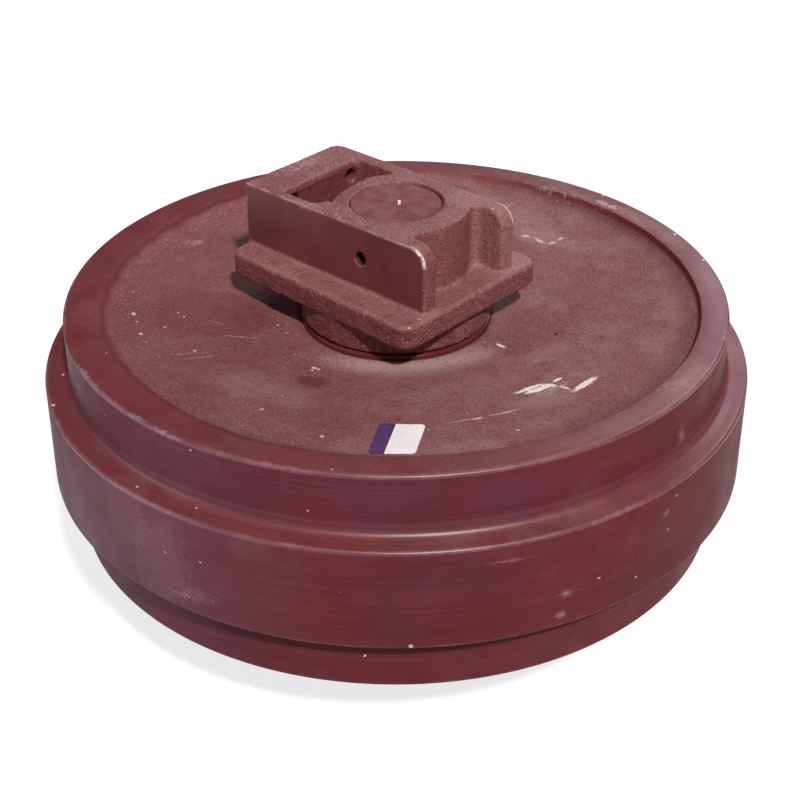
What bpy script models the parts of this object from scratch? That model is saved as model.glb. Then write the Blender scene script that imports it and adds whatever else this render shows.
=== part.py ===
"""Front idler of a tracked excavator: a hollow guide wheel that turns on a fixed shaft.

The shaft stands along Z and the wheel's mid-plane is Z = 0. Each end of the shaft is held by a cast
guide bracket, whose long side runs along X: the yoke pad is at -X and the open recess at +X.
"""

import math

import bmesh
import bpy
from mathutils import Matrix, Vector

MM = 0.001

# Clearances
GAP = 0.3 * MM
RUNNING_GAP = 1.5 * MM

# Facets
WHEEL_STEPS = 64
ROUND_STEPS = 32
HOLE_STEPS = 12
PLUG_STEPS = 24
CORNER_STEPS = 4
RING_CORNERS = 6
SHARP_ANGLE = math.radians(32.0)

# Wheel
TREAD_R = 274.0 * MM
FLANGE_HEIGHT = 19.5 * MM
WHEEL_WIDTH = 190.0 * MM
FLANGE_WIDTH = 87.0 * MM
FLANGE_FILLET = 6.0 * MM
EDGE_CHAMFER = 2.0 * MM
RIM_WALL = 16.0 * MM
WEB_WALL = 12.0 * MM
RIM_FACE = 25.5 * MM
RECESS_STEP = 6.0 * MM
RECESS_FILLET = 9.0 * MM
CAVITY_FILLET = 14.0 * MM

# Hub
HUB_LENGTH = 157.0 * MM
HUB_STAND = 5.0 * MM
HUB_WALL = 12.4 * MM
HUB_COLLAR = 25.0 * MM
HUB_CHAMFER = 1.0 * MM
WAIST_WALL = 15.0 * MM
CHAMBER_RELIEF = 4.4 * MM

# Shaft
SHAFT_R = 37.5 * MM
SHAFT_SINK = 1.2 * MM
SHAFT_CHAMFER = 1.0 * MM
CENTRE_R = 2.6 * MM
CENTRE_DEPTH = 3.0 * MM
GALLERY_R = 5.0 * MM
GALLERY_PAST_CENTRE = 8.0 * MM
CROSS_DRILL_R = 4.0 * MM
O_RING_D = 3.9 * MM
O_RING_FROM_SEAL = 9.0 * MM

# Bushes
BUSH_WALL = 4.5 * MM
BUSH_LENGTH = 46.0 * MM
BUSH_FLANGE = 5.0 * MM
BUSH_FLANGE_WIDTH = 6.2 * MM

# Floating seals
SEAL_CLEARANCE = 2.5 * MM
SEAL_WALL = 4.5 * MM
SEAL_FACE = 11.0 * MM
SEAL_LIP = 5.0 * MM
SEAL_HEIGHT = 17.0 * MM
SEAL_FACE_RELIEF = 2.0 * MM
SEAL_RAMP_SLOPE = math.radians(16.0)
TORIC_D = 9.0 * MM
HOUSING_DEPTH = 19.5 * MM

# Guide bracket
GUIDE_WIDTH = 110.0 * MM
GUIDE_HEIGHT = 54.0 * MM
GUIDE_NOSE_R = 14.0 * MM
GUIDE_CORNER_R = 9.0 * MM
PLATE_THICKNESS = 21.5 * MM
PLATE_CORNER_R = 12.0 * MM
PLATE_EDGE_R = 3.0 * MM
LEDGE_LIP = 6.5 * MM
LEDGE_BACK = 22.5 * MM
LEDGE_FRONT = 27.5 * MM
BOSS_HEIGHT = 22.1 * MM
BOSS_CHAMFER = 1.5 * MM

# Bolt pocket and its boss
POCKET_LENGTH = 27.5 * MM
POCKET_WALL_END = 36.5 * MM
POCKET_WALL_NEAR = 9.0 * MM
POCKET_WALL_FAR = 13.0 * MM
POCKET_FLOOR = 8.0 * MM
POCKET_CORNER_R = 5.0 * MM
POCKET_BOSS_WALL = 20.7 * MM
POCKET_BOSS_SHIFT = 4.0 * MM
POCKET_BLEND_NEAR = 10.0 * MM
POCKET_BLEND_FAR = 4.0 * MM
SCALLOP_NEAR_WALL = 20.5 * MM
SCALLOP_FAR_WALL = 33.0 * MM
SCALLOP_INNER_LIP = 35.5 * MM
SCALLOP_OUTER_LIP = 5.5 * MM
SCALLOP_SLOPE = math.radians(16.0)

# Front recess
RECESS_LENGTH = 17.5 * MM
RECESS_WALL = 15.0 * MM
RECESS_BOSS_WALL = 23.2 * MM
RECESS_BLEND = 6.0 * MM

# Yoke bolts and lock pins
YOKE_HOLE_R = 6.0 * MM
YOKE_HOLE_INSET = 21.0 * MM
YOKE_HOLE_DEPTH = 13.5 * MM
PIN_R = 5.5 * MM
PIN_SINK = 7.0 * MM
PIN_OFFSET = 11.0 * MM
PIN_DEPTH = 27.5 * MM

# Oil plug
PLUG_HEAD_R = 12.0 * MM
PLUG_HEAD = 5.0 * MM
PLUG_SHANK_R = 8.5 * MM
PLUG_SHANK = 11.0 * MM
PLUG_SOCKET_R = 5.5 * MM
PLUG_SOCKET_DEPTH = 6.0 * MM
PLUG_SINK = 1.0 * MM
PLUG_RING_D = 2.4 * MM

# Radii from the shaft outwards
BORE_R = SHAFT_R + GAP
BUSH_OUTER_R = BORE_R + BUSH_WALL
BUSH_FLANGE_R = BUSH_OUTER_R + BUSH_FLANGE_WIDTH
CHAMBER_R = BUSH_OUTER_R + GAP + CHAMBER_RELIEF
WAIST_R = CHAMBER_R + WAIST_WALL
SEAL_INNER_R = BUSH_FLANGE_R + SEAL_CLEARANCE
SEAL_RAMP_R = SEAL_INNER_R + SEAL_WALL
SEAL_LIP_R = SEAL_INNER_R + SEAL_FACE
TORIC_H = SEAL_HEIGHT - TORIC_D / 2
RAMP_AT_TORIC = SEAL_RAMP_R + (SEAL_HEIGHT - TORIC_H) * math.tan(SEAL_RAMP_SLOPE)
TORIC_R = RAMP_AT_TORIC + (TORIC_D / 2 + GAP) / math.cos(SEAL_RAMP_SLOPE)
HOUSING_R = TORIC_R + TORIC_D / 2 + GAP
HUB_R = HOUSING_R + HUB_WALL
RIM_INNER_R = TREAD_R - RIM_WALL
RIM_FACE_R = TREAD_R - RIM_FACE
FLANGE_R = TREAD_R + FLANGE_HEIGHT

# Heights above the wheel's mid-plane
RIM_TOP = WHEEL_WIDTH / 2
FLANGE_TOP = FLANGE_WIDTH / 2
HUB_TOP = HUB_LENGTH / 2
DISH_AT_RIM = RIM_TOP - RECESS_STEP
DISH_AT_HUB = HUB_TOP - HUB_STAND
HOUSING_FLOOR = HUB_TOP - HOUSING_DEPTH
THRUST_FACE = HOUSING_FLOOR + GAP + BUSH_FLANGE
SEAL_PLANE = HUB_TOP + RUNNING_GAP / 2
BOSS_BOTTOM = HUB_TOP + RUNNING_GAP
PLATE_BOTTOM = BOSS_BOTTOM + BOSS_HEIGHT
LEDGE_TOP = PLATE_BOTTOM + PLATE_THICKNESS
BRACKET_TOP = LEDGE_TOP + GUIDE_HEIGHT
SHAFT_END = BRACKET_TOP - SHAFT_SINK
O_RING_Z = BOSS_BOTTOM + HOUSING_DEPTH + O_RING_FROM_SEAL
PIN_Z = BRACKET_TOP - PIN_DEPTH

# Lengths and widths of the guide bracket, from the shaft's axis
GUIDE_HALF = GUIDE_WIDTH / 2
POCKET_BOSS_R = BORE_R + POCKET_BOSS_WALL
RECESS_BOSS_R = BORE_R + RECESS_BOSS_WALL
POCKET_BACK = POCKET_BOSS_SHIFT - POCKET_BOSS_R - POCKET_LENGTH
YOKE_END = POCKET_BACK - POCKET_WALL_END
GUIDE_FRONT = RECESS_BOSS_R + RECESS_LENGTH
PLATE_FRONT = GUIDE_FRONT + LEDGE_LIP
PLATE_HALF_BACK = GUIDE_HALF + LEDGE_BACK
PLATE_HALF_FRONT = GUIDE_HALF + LEDGE_FRONT
YOKE_HOLE_Y = GUIDE_HALF - YOKE_HOLE_INSET
PIN_HALF = GUIDE_HALF - PIN_SINK


def clear_scene():
    """Remove every object that the file starts with."""
    for thing in list(bpy.data.objects):
        bpy.data.objects.remove(thing, do_unlink=True)


def make_collection(name):
    """Make a collection and show it in the scene."""
    group = bpy.data.collections.new(name)
    bpy.context.scene.collection.children.link(group)
    return group


def make_material(name, colour, roughness, metallic):
    """Make a plain material for one kind of surface."""
    material = bpy.data.materials.new(name)
    material.use_nodes = True
    shader = material.node_tree.nodes["Principled BSDF"]
    shader.inputs["Base Color"].default_value = (*colour, 1.0)
    shader.inputs["Roughness"].default_value = roughness
    shader.inputs["Metallic"].default_value = metallic
    material.diffuse_color = (*colour, 1.0)
    return material


def settle(thing):
    """Turn an object's modifiers into its mesh."""
    graph = bpy.context.evaluated_depsgraph_get()
    mesh = bpy.data.meshes.new_from_object(thing.evaluated_get(graph))
    thing.modifiers.clear()
    thing.data = mesh
    return thing


def turned(name, profile, steps):
    """Turn a closed profile of (radius, height) points about Z."""
    area = 0.0
    for here, there in zip(profile, profile[1:] + profile[:1]):
        area += here[0] * there[1] - there[0] * here[1]
    if area > 0:
        profile = profile[::-1]
    on_axis = [i for i, point in enumerate(profile) if point[0] == 0]
    edges = [(i, (i + 1) % len(profile)) for i in range(len(profile))]
    edges = [edge for edge in edges if not (edge[0] in on_axis and edge[1] in on_axis)]
    mesh = bpy.data.meshes.new(name)
    mesh.from_pydata([(radius, 0.0, height) for radius, height in profile], edges, [])
    thing = bpy.data.objects.new(name, mesh)
    PARTS.objects.link(thing)
    screw = thing.modifiers.new("Turn", "SCREW")
    screw.axis = "Z"
    screw.angle = math.tau
    screw.steps = steps
    screw.render_steps = steps
    screw.use_merge_vertices = True
    screw.merge_threshold = 0.00005
    return settle(thing)


def ring_section(radius, height, thickness):
    """Give the round section of a rubber ring as a closed profile."""
    reach = thickness / 2
    points = []
    for i in range(RING_CORNERS):
        angle = math.tau * (i + 0.5) / RING_CORNERS
        points.append((radius + reach * math.cos(angle), height + reach * math.sin(angle)))
    return points


def arc_points(centre, radius, start, end, steps):
    """Give the points of an arc, ends included."""
    points = []
    for i in range(steps + 1):
        angle = start + (end - start) * i / steps
        points.append((centre[0] + radius * math.cos(angle), centre[1] + radius * math.sin(angle)))
    return points


def rounded(corners):
    """Round the corners of an outline, each given as (x, y, radius)."""
    points = []
    for i, (x, y, radius) in enumerate(corners):
        corner = Vector((x, y))
        if radius == 0:
            points.append((x, y))
            continue
        before = Vector(corners[i - 1][:2]) - corner
        after = Vector(corners[(i + 1) % len(corners)][:2]) - corner
        half = before.angle(after) / 2
        radius = min(radius, 0.95 * math.tan(half) * min(before.length, after.length))
        centre = corner + (before.normalized() + after.normalized()).normalized() * radius / math.sin(half)
        first = corner + before.normalized() * radius / math.tan(half) - centre
        last = corner + after.normalized() * radius / math.tan(half) - centre
        turn = first.angle_signed(last)
        for k in range(CORNER_STEPS + 1):
            spoke = first.copy()
            spoke.rotate(Matrix.Rotation(-turn * k / CORNER_STEPS, 2))
            points.append(tuple(centre + spoke))
    return points


def prism(name, outline, bottom, top):
    """Raise a flat outline into a solid between two heights."""
    mesh = bpy.data.meshes.new(name)
    solid = bmesh.new()
    base = solid.faces.new([solid.verts.new((x, y, bottom)) for x, y in outline])
    raised = bmesh.ops.extrude_face_region(solid, geom=[base], use_keep_orig=True)
    lifted = [item for item in raised["geom"] if isinstance(item, bmesh.types.BMVert)]
    bmesh.ops.translate(solid, vec=(0, 0, top - bottom), verts=lifted)
    bmesh.ops.recalc_face_normals(solid, faces=solid.faces)
    solid.to_mesh(mesh)
    solid.free()
    thing = bpy.data.objects.new(name, mesh)
    PARTS.objects.link(thing)
    return thing


def round_edges(thing, chosen, radius, segments):
    """Round the edges of a solid that a test of their two ends picks."""
    solid = bmesh.new()
    solid.from_mesh(thing.data)
    edges = [edge for edge in solid.edges if chosen(edge.verts[0].co, edge.verts[1].co)]
    bmesh.ops.bevel(solid, geom=edges, offset=radius, offset_type="OFFSET", segments=segments,
                    affect="EDGES", profile=0.5, material=-1, clamp_overlap=True)
    solid.to_mesh(thing.data)
    solid.free()


def rod(name, radius, start, end, steps):
    """Make a round bar from one point to another."""
    start, end = Vector(start), Vector(end)
    along = end - start
    mesh = bpy.data.meshes.new(name)
    solid = bmesh.new()
    turn = along.to_track_quat("Z", "Y").to_matrix().to_4x4()
    place = Matrix.Translation((start + end) / 2) @ turn
    bmesh.ops.create_cone(solid, cap_ends=True, segments=steps, radius1=radius, radius2=radius,
                          depth=along.length, matrix=place)
    solid.to_mesh(mesh)
    solid.free()
    thing = bpy.data.objects.new(name, mesh)
    PARTS.objects.link(thing)
    return thing


def combine(body, tools, operation):
    """Join tools to a body, or cut them out of it, and drop the tools."""
    for tool in tools:
        step = body.modifiers.new(tool.name, "BOOLEAN")
        step.operation = operation
        step.object = tool
        step.solver = "EXACT"
        settle(body)
        bpy.data.objects.remove(tool, do_unlink=True)
    return body


def finish(thing, material, parent):
    """Give a piece its material, its shading and its parent."""
    thing.data.materials.clear()
    thing.data.materials.append(material)
    thing.data.shade_smooth()
    thing.data.set_sharp_from_angle(angle=SHARP_ANGLE)
    thing.parent = parent
    return thing


def flipped(thing, name):
    """Copy a piece to the other side of the wheel's mid-plane."""
    mesh = thing.data.copy()
    solid = bmesh.new()
    solid.from_mesh(mesh)
    bmesh.ops.scale(solid, vec=(1, 1, -1), verts=solid.verts)
    bmesh.ops.reverse_faces(solid, faces=solid.faces)
    solid.to_mesh(mesh)
    solid.free()
    twin = bpy.data.objects.new(name, mesh)
    PARTS.objects.link(twin)
    twin.parent = thing.parent
    return twin


def wheel_half():
    """Turn the upper half of the wheel: rim, guide flange half and dished web."""
    inner_r = HUB_R + GAP
    foot_r = RIM_FACE_R - RECESS_FILLET
    cavity_top = DISH_AT_RIM - WEB_WALL
    corner = (RIM_INNER_R - CAVITY_FILLET, cavity_top - CAVITY_FILLET)
    root = (TREAD_R + FLANGE_FILLET, FLANGE_TOP + FLANGE_FILLET)
    profile = [(inner_r, DISH_AT_HUB)]
    profile += [(foot_r, DISH_AT_RIM)]
    profile += [(RIM_FACE_R - RECESS_FILLET / 3, DISH_AT_RIM + RECESS_STEP / 3)]
    profile += [(RIM_FACE_R, RIM_TOP)]
    profile += [(TREAD_R - EDGE_CHAMFER, RIM_TOP), (TREAD_R, RIM_TOP - EDGE_CHAMFER)]
    profile += arc_points(root, FLANGE_FILLET, math.pi, 1.5 * math.pi, 3)
    profile += [(FLANGE_R - EDGE_CHAMFER, FLANGE_TOP), (FLANGE_R, FLANGE_TOP - EDGE_CHAMFER)]
    profile += [(FLANGE_R, GAP / 2), (RIM_INNER_R, GAP / 2)]
    profile += arc_points(corner, CAVITY_FILLET, 0, math.pi / 2, 3)
    profile += [(inner_r, DISH_AT_HUB - WEB_WALL)]
    return turned("wheel_half_upper", profile, WHEEL_STEPS)


def hub_sleeve():
    """Turn the hub: two seal housings, two bush seats and the oil chamber between them."""
    waist_top = HUB_TOP - HUB_COLLAR
    neck = waist_top - (HUB_R - WAIST_R)
    seat_r = BUSH_OUTER_R + GAP
    chamber_top = HOUSING_FLOOR + GAP - BUSH_LENGTH + BUSH_FLANGE
    upper = [(HUB_R - HUB_CHAMFER, HUB_TOP), (HUB_R, HUB_TOP - HUB_CHAMFER)]
    upper += [(HUB_R, waist_top), (WAIST_R, neck)]
    inner = [(seat_r, chamber_top), (seat_r, HOUSING_FLOOR), (HOUSING_R, HOUSING_FLOOR)]
    inner += [(HOUSING_R, HUB_TOP)]
    if chamber_top > 0:
        inner = [(CHAMBER_R, chamber_top)] + inner
    profile = upper + [(r, -z) for r, z in upper[::-1]] + [(r, -z) for r, z in inner[::-1]] + inner
    return turned("hub_sleeve", profile, ROUND_STEPS)


def bush():
    """Turn a flanged bush, seated in the upper end of the hub."""
    seat = HOUSING_FLOOR + GAP
    profile = [(BUSH_FLANGE_R, THRUST_FACE), (BUSH_FLANGE_R, seat), (BUSH_OUTER_R, seat)]
    profile += [(BUSH_OUTER_R, THRUST_FACE - BUSH_LENGTH), (BORE_R, THRUST_FACE - BUSH_LENGTH)]
    profile += [(BORE_R, THRUST_FACE)]
    return turned("bush_upper", profile, ROUND_STEPS)


def seal_ring(name, away):
    """Turn one metal ring of a floating seal. Its lapped face is on the seal plane."""
    ramp_top_r = SEAL_RAMP_R + (SEAL_HEIGHT - SEAL_LIP - GAP) * math.tan(SEAL_RAMP_SLOPE)
    section = [(SEAL_INNER_R + SEAL_FACE_RELIEF, GAP / 2), (SEAL_LIP_R, GAP / 2)]
    section += [(SEAL_LIP_R, SEAL_LIP), (ramp_top_r, SEAL_LIP + GAP), (SEAL_RAMP_R, SEAL_HEIGHT)]
    section += [(SEAL_INNER_R, SEAL_HEIGHT), (SEAL_INNER_R, SEAL_FACE_RELIEF)]
    return turned(name, [(r, SEAL_PLANE + away * h) for r, h in section], ROUND_STEPS)


def toric_ring(name, away):
    """Turn the rubber ring that holds a seal ring in its housing."""
    return turned(name, ring_section(TORIC_R, SEAL_PLANE + away * TORIC_H, TORIC_D), ROUND_STEPS)


def shaft():
    """Turn the fixed shaft, with its ring grooves, oil gallery and pin holes."""
    groove_r = SHAFT_R - O_RING_D - GAP
    groove_half = O_RING_D / 2 + GAP
    seat_top = -SHAFT_END + PLUG_SINK + PLUG_HEAD + PLUG_RING_D + 2 * GAP
    bore_top = seat_top + PLUG_SHANK
    profile = [(0, SHAFT_END - CENTRE_DEPTH), (CENTRE_R, SHAFT_END)]
    profile += [(SHAFT_R - SHAFT_CHAMFER, SHAFT_END), (SHAFT_R, SHAFT_END - SHAFT_CHAMFER)]
    for groove in (O_RING_Z, -O_RING_Z):
        profile += [(SHAFT_R, groove + groove_half), (groove_r, groove + groove_half)]
        profile += [(groove_r, groove - groove_half), (SHAFT_R, groove - groove_half)]
    profile += [(SHAFT_R, SHAFT_CHAMFER - SHAFT_END), (SHAFT_R - SHAFT_CHAMFER, -SHAFT_END)]
    profile += [(PLUG_HEAD_R + GAP, -SHAFT_END), (PLUG_HEAD_R + GAP, seat_top)]
    profile += [(PLUG_SHANK_R + GAP, seat_top), (PLUG_SHANK_R + GAP, bore_top)]
    profile += [(GALLERY_R, bore_top), (GALLERY_R, GALLERY_PAST_CENTRE), (0, GALLERY_PAST_CENTRE)]
    body = turned("shaft", profile, ROUND_STEPS)
    reach = SHAFT_R + PIN_R
    tools = [rod("oil_way", CROSS_DRILL_R, (0, 0, 0), (0, reach, 0), HOLE_STEPS)]
    for height in (PIN_Z, -PIN_Z):
        ends = [(PIN_OFFSET, side * reach, height) for side in (-1, 1)]
        tools.append(rod("pin_hole", PIN_R + GAP, *ends, HOLE_STEPS))
    return combine(body, tools, "DIFFERENCE")


def round_boss(boss_x, boss_r, walls, blends, facing):
    """Outline the back of a hollow, from one side wall round a boss to the other side wall.

    Each wall is the y of a line along X, each blend is the radius that joins it to the boss, and facing
    is the side of the boss in X that the hollow lies on.
    """
    ends = []
    lines = []
    for wall, blend in zip(walls, blends):
        y = wall - math.copysign(blend, wall)
        reach = facing * math.sqrt((boss_r + blend) ** 2 - y ** 2)
        start = math.copysign(math.pi / 2, wall)
        turn = (math.atan2(-y, -reach) - start + math.pi) % math.tau - math.pi
        lines.append(arc_points((boss_x + reach, y), blend, start, start + turn, CORNER_STEPS))
        ends.append(math.atan2(y, reach))
    sweep = (ends[1] - ends[0] + math.pi) % math.tau - math.pi
    boss = arc_points((boss_x, 0), boss_r, ends[0], ends[0] + sweep, 2 * CORNER_STEPS)
    return lines[0] + boss[1:-1] + lines[1][::-1]


def pocket_outline():
    """Outline the bolt pocket between the yoke wall and the boss round the shaft."""
    near = POCKET_WALL_NEAR - GUIDE_HALF
    far = GUIDE_HALF - POCKET_WALL_FAR
    blends = (POCKET_BLEND_NEAR, POCKET_BLEND_FAR)
    back = round_boss(POCKET_BOSS_SHIFT, POCKET_BOSS_R, (near, far), blends, -1)
    corners = [(POCKET_BACK, far, POCKET_CORNER_R), (POCKET_BACK, near, POCKET_CORNER_R)]
    return rounded(corners + [(x, y, 0) for x, y in back])


def recess_outline():
    """Outline the open front recess, whose back wall runs round the shaft."""
    side = GUIDE_HALF - RECESS_WALL
    front = PLATE_FRONT + LEDGE_LIP
    back = round_boss(0, RECESS_BOSS_R, (-side, side), (RECESS_BLEND, RECESS_BLEND), 1)
    return [(front, -side)] + back + [(front, side)]


def scallop(above):
    """Make the tool that slopes the boss down towards the pocket."""
    near = SCALLOP_NEAR_WALL - GUIDE_HALF
    far = GUIDE_HALF - SCALLOP_FAR_WALL
    crest = POCKET_BOSS_SHIFT - POCKET_BOSS_R
    start = Vector((crest + SCALLOP_INNER_LIP, near))
    end = Vector((crest + SCALLOP_OUTER_LIP, far))
    foot = (crest + POCKET_BACK) / 2
    tool = prism("scallop", [start, end, (foot, far), (foot, near)], BRACKET_TOP, above)
    lip = (end - start).normalized()
    downhill = Vector((-lip.y, lip.x))
    for vertex in tool.data.vertices:
        if vertex.co.z < above - GAP:
            distance = (Vector(vertex.co[:2]) - start).dot(downhill)
            vertex.co.z -= max(distance, 0) * math.tan(SCALLOP_SLOPE)
    return tool


def guide_bracket():
    """Build the upper bracket: ledge plate, guide block and boss, with their hollows."""
    above = BRACKET_TOP + PLATE_THICKNESS
    corners = [(YOKE_END, -PLATE_HALF_BACK), (PLATE_FRONT, -PLATE_HALF_FRONT)]
    corners += [(PLATE_FRONT, PLATE_HALF_FRONT), (YOKE_END, PLATE_HALF_BACK)]
    outline = rounded([(x, y, PLATE_CORNER_R) for x, y in corners])
    body = prism("bracket_upper", outline, PLATE_BOTTOM, LEDGE_TOP)
    round_edges(body, lambda a, b: abs(a.z - b.z) < GAP, PLATE_EDGE_R, 2)

    mid_plate = (PLATE_BOTTOM + LEDGE_TOP) / 2
    corners = [(YOKE_END, -GUIDE_HALF, 0), (GUIDE_FRONT, -GUIDE_HALF, 0)]
    corners += [(GUIDE_FRONT, GUIDE_HALF, 0), (YOKE_END, GUIDE_HALF, GUIDE_CORNER_R)]
    guide = prism("guide", rounded(corners), mid_plate, BRACKET_TOP)
    nose = GUIDE_FRONT - GAP
    round_edges(guide, lambda a, b: min(a.x, b.x) > nose and min(a.z, b.z) > LEDGE_TOP,
                GUIDE_NOSE_R, CORNER_STEPS)

    housing_top = BOSS_BOTTOM + HOUSING_DEPTH
    collar = THRUST_FACE + GAP
    profile = [(0, mid_plate), (HUB_R, mid_plate), (HUB_R, BOSS_BOTTOM + BOSS_CHAMFER)]
    profile += [(HUB_R - BOSS_CHAMFER, BOSS_BOTTOM), (HOUSING_R, BOSS_BOTTOM)]
    profile += [(HOUSING_R, housing_top), (BUSH_FLANGE_R, housing_top)]
    profile += [(BUSH_FLANGE_R, collar), (0, collar)]
    combine(body, [guide, turned("boss", profile, ROUND_STEPS)], "UNION")

    tools = [prism("pocket", pocket_outline(), LEDGE_TOP + POCKET_FLOOR, above)]
    tools += [prism("recess", recess_outline(), LEDGE_TOP, above)]
    tools += [scallop(above)]
    tools += [rod("bore", BORE_R, (0, 0, HOUSING_FLOOR), (0, 0, above), ROUND_STEPS)]
    reach = GUIDE_HALF + PIN_R
    ends = [(PIN_OFFSET, side * reach, PIN_Z) for side in (-1, 1)]
    tools += [rod("pin_hole", PIN_R + GAP, *ends, HOLE_STEPS)]
    for side in (-1, 1):
        start = (YOKE_END - PIN_R, side * YOKE_HOLE_Y, BRACKET_TOP - YOKE_HOLE_DEPTH)
        end = (POCKET_BACK + PIN_R, side * YOKE_HOLE_Y, BRACKET_TOP - YOKE_HOLE_DEPTH)
        tools += [rod("yoke_hole", YOKE_HOLE_R, start, end, HOLE_STEPS)]
    return combine(body, tools, "DIFFERENCE")


def oil_plug():
    """Make the plug in the lower end of the shaft, with its hexagon socket."""
    face = PLUG_SINK - SHAFT_END
    head_top = face + PLUG_HEAD
    end = head_top + PLUG_RING_D + PLUG_SHANK
    profile = [(0, face), (PLUG_HEAD_R, face), (PLUG_HEAD_R, head_top), (PLUG_SHANK_R, head_top)]
    profile += [(PLUG_SHANK_R, end), (0, end)]
    plug = turned("oil_plug", profile, PLUG_STEPS)
    ends = (0, 0, -SHAFT_END - PLUG_SINK), (0, 0, face + PLUG_SOCKET_DEPTH)
    socket = rod("socket", PLUG_SOCKET_R, *ends, 6)
    return combine(plug, [socket], "DIFFERENCE")


clear_scene()
PARTS = make_collection("Front idler")

RED_PAINT = make_material("Red primer paint", (0.16, 0.036, 0.040), 0.5, 0.0)
CAST_PAINT = make_material("Painted casting", (0.19, 0.060, 0.062), 0.7, 0.0)
STEEL = make_material("Ground steel", (0.45, 0.44, 0.43), 0.3, 1.0)
DARK_STEEL = make_material("Dark steel", (0.20, 0.19, 0.18), 0.4, 1.0)
BRONZE = make_material("Bush bronze", (0.55, 0.36, 0.16), 0.35, 1.0)
SEAL_IRON = make_material("Lapped iron", (0.35, 0.35, 0.36), 0.2, 1.0)
RUBBER = make_material("Black rubber", (0.02, 0.02, 0.02), 0.8, 0.0)

FIXED = bpy.data.objects.new("fixed_frame", None)
WHEEL = bpy.data.objects.new("wheel_axis", None)
for axis in (FIXED, WHEEL):
    axis.empty_display_size = SHAFT_R
    PARTS.objects.link(axis)
WHEEL.parent = FIXED

# Wheel
half = finish(wheel_half(), RED_PAINT, WHEEL)
flipped(half, "wheel_half_lower")
finish(hub_sleeve(), RED_PAINT, WHEEL)
flipped(finish(bush(), BRONZE, WHEEL), "bush_lower")

# Floating seals: the inner ring of each pair turns with the hub, the outer one stays with the bracket
for role, away, carrier in (("turning", -1, WHEEL), ("fixed", 1, FIXED)):
    metal = finish(seal_ring("seal_ring_" + role + "_upper", away), SEAL_IRON, carrier)
    flipped(metal, "seal_ring_" + role + "_lower")
    toric = finish(toric_ring("toric_ring_" + role + "_upper", away), RUBBER, carrier)
    flipped(toric, "toric_ring_" + role + "_lower")

# Fixed frame
finish(shaft(), STEEL, FIXED)
flipped(finish(guide_bracket(), CAST_PAINT, FIXED), "bracket_lower")
pin = rod("lock_pin_upper", PIN_R, (PIN_OFFSET, -PIN_HALF, PIN_Z), (PIN_OFFSET, PIN_HALF, PIN_Z),
          HOLE_STEPS)
flipped(finish(pin, DARK_STEEL, FIXED), "lock_pin_lower")
centre_r = SHAFT_R - O_RING_D / 2
o_ring = turned("shaft_o_ring_upper", ring_section(centre_r, O_RING_Z, O_RING_D), ROUND_STEPS)
flipped(finish(o_ring, RUBBER, FIXED), "shaft_o_ring_lower")
finish(oil_plug(), DARK_STEEL, FIXED)
ring_z = PLUG_SINK - SHAFT_END + PLUG_HEAD + GAP + PLUG_RING_D / 2
ring_r = PLUG_SHANK_R + GAP + PLUG_RING_D / 2
plug_ring = turned("plug_o_ring", ring_section(ring_r, ring_z, PLUG_RING_D), PLUG_STEPS)
finish(plug_ring, RUBBER, FIXED)
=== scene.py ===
# Front idler: a cast guide wheel between two guide brackets, in thin red primer with dust and wear, and
# with painted sheen, glints, highlights and shade.

import math

import bmesh
import bpy
from mathutils import Matrix, Vector, noise
from mathutils.bvhtree import BVHTree


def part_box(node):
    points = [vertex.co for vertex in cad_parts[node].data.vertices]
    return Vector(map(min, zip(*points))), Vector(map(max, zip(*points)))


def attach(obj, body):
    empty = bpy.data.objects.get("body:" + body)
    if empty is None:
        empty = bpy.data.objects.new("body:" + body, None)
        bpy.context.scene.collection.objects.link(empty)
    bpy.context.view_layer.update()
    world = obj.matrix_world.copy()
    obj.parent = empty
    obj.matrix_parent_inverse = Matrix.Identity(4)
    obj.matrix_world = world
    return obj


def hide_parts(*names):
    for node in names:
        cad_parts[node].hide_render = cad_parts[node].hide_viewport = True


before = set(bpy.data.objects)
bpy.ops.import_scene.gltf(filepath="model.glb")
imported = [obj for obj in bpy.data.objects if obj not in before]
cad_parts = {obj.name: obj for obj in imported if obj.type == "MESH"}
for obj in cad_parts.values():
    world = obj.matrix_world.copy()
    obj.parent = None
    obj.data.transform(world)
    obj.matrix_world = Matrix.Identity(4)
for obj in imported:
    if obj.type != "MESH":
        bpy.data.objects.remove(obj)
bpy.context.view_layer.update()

MM = 0.001
UP = Vector((0, 0, 1))

# Sizes that the frame gives
WHEEL_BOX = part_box("wheel_half_upper")
HUB_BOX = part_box("hub_sleeve")
SHAFT_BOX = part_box("shaft")
BRACKET_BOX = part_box("bracket_upper")
FLANGE_R = WHEEL_BOX[1].x
RIM_TOP = WHEEL_BOX[1].z
HUB_R = HUB_BOX[1].x
HUB_TOP = HUB_BOX[1].z
SHAFT_R = SHAFT_BOX[1].x
SHAFT_END = SHAFT_BOX[1].z
BRACKET_TOP = BRACKET_BOX[1].z
FLOOR_Z = -BRACKET_TOP - 1.2 * MM

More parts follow.
